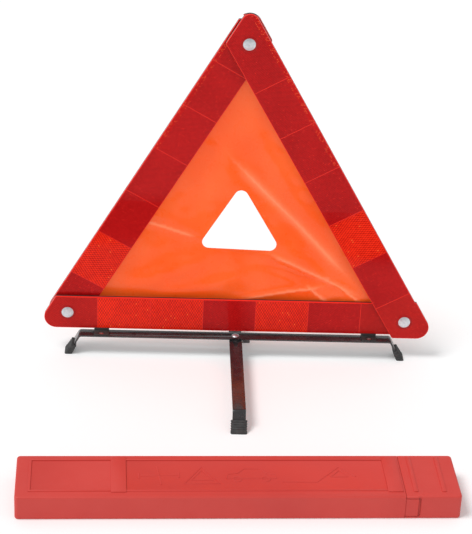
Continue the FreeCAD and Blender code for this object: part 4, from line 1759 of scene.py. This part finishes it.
    def cap_ribs(self, finishes: Finishes) -> None:
        """Raised grip bars across the cap.

        Args:
            finishes: The object's finishes.
        """
        shape = bmesh.new()
        for place in self.rib_places:
            start = self.seam + place
            self.cross_bar(start, self.rib_width, shape)
        self.finish_piece("case_cap_bars", shape, "case_cap", finishes)

    def signs(self, finishes: Finishes) -> None:
        """Embossed signs on the long panel: the stand, the triangle, a car and a road.

        Args:
            finishes: The object's finishes.
        """
        tree = ShapeTree("raised_stroke", {"Width": float, "Rise": float,
                                           "Material": bpy.types.Material})
        size = tree.add("ShaderNodeCombineXYZ", {
            "X": tree.given("Width"), "Y": tree.given("Rise"), "Z": 1.0})
        circle = tree.add("GeometryNodeCurvePrimitiveCircle", {"Resolution": 10, "Radius": 0.5})
        profile = tree.add("GeometryNodeTransform", {
            "Geometry": circle.outputs[0], "Scale": size.outputs[0]})
        tube = tree.add("GeometryNodeCurveToMesh", {
            "Curve": tree.given("Geometry"), "Profile Curve": profile.outputs[0], "Fill Caps": True})
        tree.close(tube.outputs[0])
        curve = bpy.data.curves.new("signs", "CURVE")
        curve.dimensions = "3D"
        floor = self.top - self.relief
        middle = (self.front_margin - self.rear_margin) / 2
        for stroke in sign_strokes():
            spline = curve.splines.new("POLY")
            spline.points.add(len(stroke) - 1)
            for point, (x, y) in zip(spline.points, stroke):
                point.co = (x, y + middle, floor, 1.0)
        mesh = tree.run({"Width": self.stroke_width, "Rise": 2 * self.stroke_rise,
                         "Material": finishes.case}, curve)
        shape = bmesh.new()
        shape.from_mesh(mesh)
        self.finish_piece("case_embossed_signs", shape, "case", finishes)

    def hinge(self, finishes: Finishes) -> None:
        """Thin web of the living hinge, between body and cap.

        Args:
            finishes: The object's finishes.
        """
        middle = self.seam + self.hinge_inset
        front = -self.half_width
        shape = bmesh.new()
        near = front + self.web_depth
        far = near + self.web_thickness
        low = self.hinge_margin
        high = low + (self.top - 2 * self.hinge_margin)
        rows = []
        for k in range(self.web_steps + 1):
            x = middle + self.web_half * (2 * k / self.web_steps - 1)
            rows.append([shape.verts.new((x, y, z)) for y, z in (
                (near, low), (far, low), (far, high), (near, high))])
        for a, b in zip(rows, rows[1:]):
            for i in range(4):
                shape.faces.new((a[i], a[(i + 1) % 4], b[(i + 1) % 4], b[i]))
        shape.faces.new(rows[0])
        shape.faces.new(rows[-1])
        bmesh.ops.transform(shape, matrix=self.place, verts=shape.verts)
        mesh = to_mesh(shape, "hinge_web")
        mesh.materials.append(finishes.case)
        web = bpy.data.objects.new("case_hinge_web", mesh)
        bpy.context.scene.collection.objects.link(web)
        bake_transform(web)
        log.info("case_hinge_web: bends from case to case_cap")

    def build(self, finishes: Finishes) -> None:
        """Make every piece of the case.

        Args:
            finishes: The object's finishes.
        """
        for node, body in (("case_body", "case"), ("case_cap", "case_cap")):
            mesh = carved(softened(node, self.shell_edge), self.groove())
            piece(node + "_moulded", mesh, finishes.case, body, [node])
        self.frames(finishes)
        self.bands(finishes)
        self.cap_ribs(finishes)
        self.signs(finishes)
        self.hinge(finishes)


def ring(x: float, y: float, radius: float, count: int = 12) -> list[Point2]:
    """Closed stroke round a small circle.

    Args:
        x: Its middle, along the case.
        y: Its middle, across the case.
        radius: Its radius.
        count: Sides of the stroke.

    Returns:
        The stroke's points, with the first one again at the end.
    """
    return [(x + radius * math.cos(math.tau * k / count), y + radius * math.sin(math.tau * k / count))
            for k in range(count + 1)]


def sign_strokes() -> list[list[Point2]]:
    """Strokes of the embossed signs, from the middle of the case: stand, triangle, car and road.

    Returns:
        The points of each stroke.
    """
    strokes: list[list[Point2]] = []
    stand_x = -82 * MM
    strokes += [[(stand_x - 22 * MM, -1 * MM), (stand_x + 20 * MM, 1 * MM)],
                [(stand_x - 3 * MM, 17 * MM), (stand_x + 1 * MM, -17 * MM)],
                [(stand_x - 22 * MM, 4 * MM), (stand_x - 22 * MM, -6 * MM)],
                [(stand_x + 20 * MM, 6 * MM), (stand_x + 20 * MM, -4 * MM)]]
    triangle_x = -38 * MM
    for size in (1.0, 0.6):
        half, high = 19 * MM * size, 30 * MM * size
        foot = -15 * MM * size
        strokes.append([(triangle_x - half, foot), (triangle_x, foot + high), (triangle_x + half, foot),
                        (triangle_x - half, foot)])
    car_x = 14 * MM
    strokes.append([(car_x - 26 * MM, -6 * MM), (car_x - 25 * MM, 2 * MM), (car_x - 14 * MM, 4 * MM),
                    (car_x - 7 * MM, 12 * MM), (car_x + 9 * MM, 12 * MM), (car_x + 16 * MM, 4 * MM),
                    (car_x + 25 * MM, 1 * MM), (car_x + 26 * MM, -6 * MM), (car_x - 26 * MM, -6 * MM)])
    strokes += [ring(car_x - 15 * MM, -7 * MM, 4.5 * MM), ring(car_x + 15 * MM, -7 * MM, 4.5 * MM)]
    road = 46 * MM
    strokes.append([(road, -12 * MM), (road + 36 * MM, -13 * MM), (road + 62 * MM, 15 * MM),
                    (road + 78 * MM, -3 * MM)])
    strokes.append([(road + 52 * MM, -3 * MM), (road + 62 * MM, 9 * MM), (road + 70 * MM, -3 * MM),
                    (road + 52 * MM, -3 * MM)])
    return strokes


# ---------------------------------------------------------------------------
# Studio
# ---------------------------------------------------------------------------
@dataclass
class Studio:
    """Pale floor, soft light from all round and the camera."""

    place: Sequence[float] = (-98.49 * MM, -1897.19 * MM, 1132.64 * MM)
    pitch: float = 28.117
    yaw: float = 2.875
    roll: float = 2.699
    lens: float = 124.167
    sensor: float = 36.0
    clip: Point2 = (0.05, 50.0)
    floor_half: float = 6.0
    floor_glow: float = 0.09          # light of the paper's own, so that it stays white
    sky: float = 0.56
    sun: float = 1.75
    sun_from: tuple[float, float, float] = (-0.48, -0.14, 0.87)
    sun_spread: float = 24.0          # degrees; wide gives soft shadows

    def camera(self) -> None:
        """Camera that looks down on the object from the front."""
        pitch, yaw, roll = (math.radians(value) for value in (self.pitch, self.yaw, self.roll))
        ahead = Vector((math.sin(yaw) * math.cos(pitch), math.cos(yaw) * math.cos(pitch),
                        -math.sin(pitch)))
        level = Vector((math.cos(yaw), -math.sin(yaw), 0.0))
        upright = level.cross(ahead)
        right = math.cos(roll) * level + math.sin(roll) * upright
        up = -math.sin(roll) * level + math.cos(roll) * upright
        data = bpy.data.cameras.new("camera")
        data.lens, data.sensor_width = self.lens, self.sensor
        data.clip_start, data.clip_end = self.clip
        holder = bpy.data.objects.new("camera", data)
        turn = Matrix((right, up, -ahead)).transposed().to_4x4()
        holder.matrix_world = Matrix.Translation(self.place) @ turn
        bpy.context.scene.collection.objects.link(holder)
        bpy.context.scene.camera = holder

    def floor(self) -> None:
        """Plain pale floor under the object."""
        half = self.floor_half
        mesh = bpy.data.meshes.new("floor")
        mesh.from_pydata([(-half, -half, 0), (half, -half, 0), (half, half, 0), (-half, half, 0)], [],
                         [(0, 1, 2, 3)])
        surface = Surface("floor_paper", Roughness=0.9, Specular_IOR_Level=0.1,
                          Emission_Color=(1.0, 1.0, 1.0, 1.0), Emission_Strength=self.floor_glow)
        drift = surface.ramp(surface.noise(0.4, 2.0), 0.3, 0.7)
        surface.feed("Base Color", surface.mix(drift, (0.94, 0.94, 0.94), (0.92, 0.92, 0.925)))
        mesh.materials.append(surface.material)
        floor = bpy.data.objects.new("floor", mesh)
        bpy.context.scene.collection.objects.link(floor)

    def key_light(self) -> None:
        """Wide soft light from far off."""
        data = bpy.data.lights.new("key", "SUN")
        data.energy, data.angle = self.sun, math.radians(self.sun_spread)
        holder = bpy.data.objects.new("key", data)
        holder.matrix_world = facing(Vector(self.sun_from), Vector(self.sun_from))
        bpy.context.scene.collection.objects.link(holder)

    def build(self) -> None:
        """Set up floor, light and camera."""
        world = bpy.data.worlds.new("studio")
        world.use_nodes = True
        sky = world.node_tree.nodes["Background"]
        sky.inputs["Color"].default_value = (1.0, 1.0, 1.0, 1.0)
        sky.inputs["Strength"].default_value = self.sky
        bpy.context.scene.world = world
        bpy.context.scene.view_settings.view_transform = "Standard"
        self.floor()
        self.key_light()
        self.camera()


# ---------------------------------------------------------------------------
# The whole object
# ---------------------------------------------------------------------------
def build_arms(finishes: Finishes) -> None:
    """Reflector arms with their prism fields and rear covers.

    Args:
        finishes: The object's finishes.
    """
    fine, coarse, end = PrismKind.FINE, PrismKind.COARSE, PrismKind.END
    arms = (
        ReflectorArm("base", "stand", "left_rivet", "right_rivet", width=42 * MM,
                     first_seam=35.3 * MM, kinds=(end, coarse, coarse, fine, coarse, fine, end)),
        ReflectorArm("left_arm", "left_arm", "left_rivet", "top_rivet", width=45 * MM,
                     first_seam=47 * MM, kinds=(fine, coarse, fine, fine, fine, fine, fine),
                     outer_side=1, border_from=230 * MM),
        ReflectorArm("right_arm", "right_arm", "right_rivet", "top_rivet", width=45 * MM,
                     first_seam=32.5 * MM, kinds=(end, fine, coarse, fine, fine, fine, fine),
                     outer_side=-1, border_from=200 * MM),
    )
    lattice, ladder = PrismLattice(), RibLadder()
    for arm in arms:
        arm.fields(lattice, finishes)
        arm.lands(finishes)
        arm.rear_cover(ladder, finishes)
    lattice.done()
    dress([arm.name + "_lens" for arm in arms], finishes.lens)


def main() -> None:
    """Build the object's pieces in order, then the studio round them."""
    logging.basicConfig(level=logging.INFO, format="%(name)s %(message)s")
    finishes = Finishes()
    build_arms(finishes)
    TurnedParts().build(finishes)
    FluorescentSheet().build(finishes)
    CrossStand().build(finishes)
    StorageCase().build(finishes)
    dress(["left_spacer", "right_spacer", "left_rear_washer", "latch_peg"], finishes.clip)
    dress(["leg_washer"], finishes.zinc)
    dress(["stand_rivet", "sheet_stud"], finishes.aluminium)
    Studio().build()


if __name__ == "__main__":
    main()
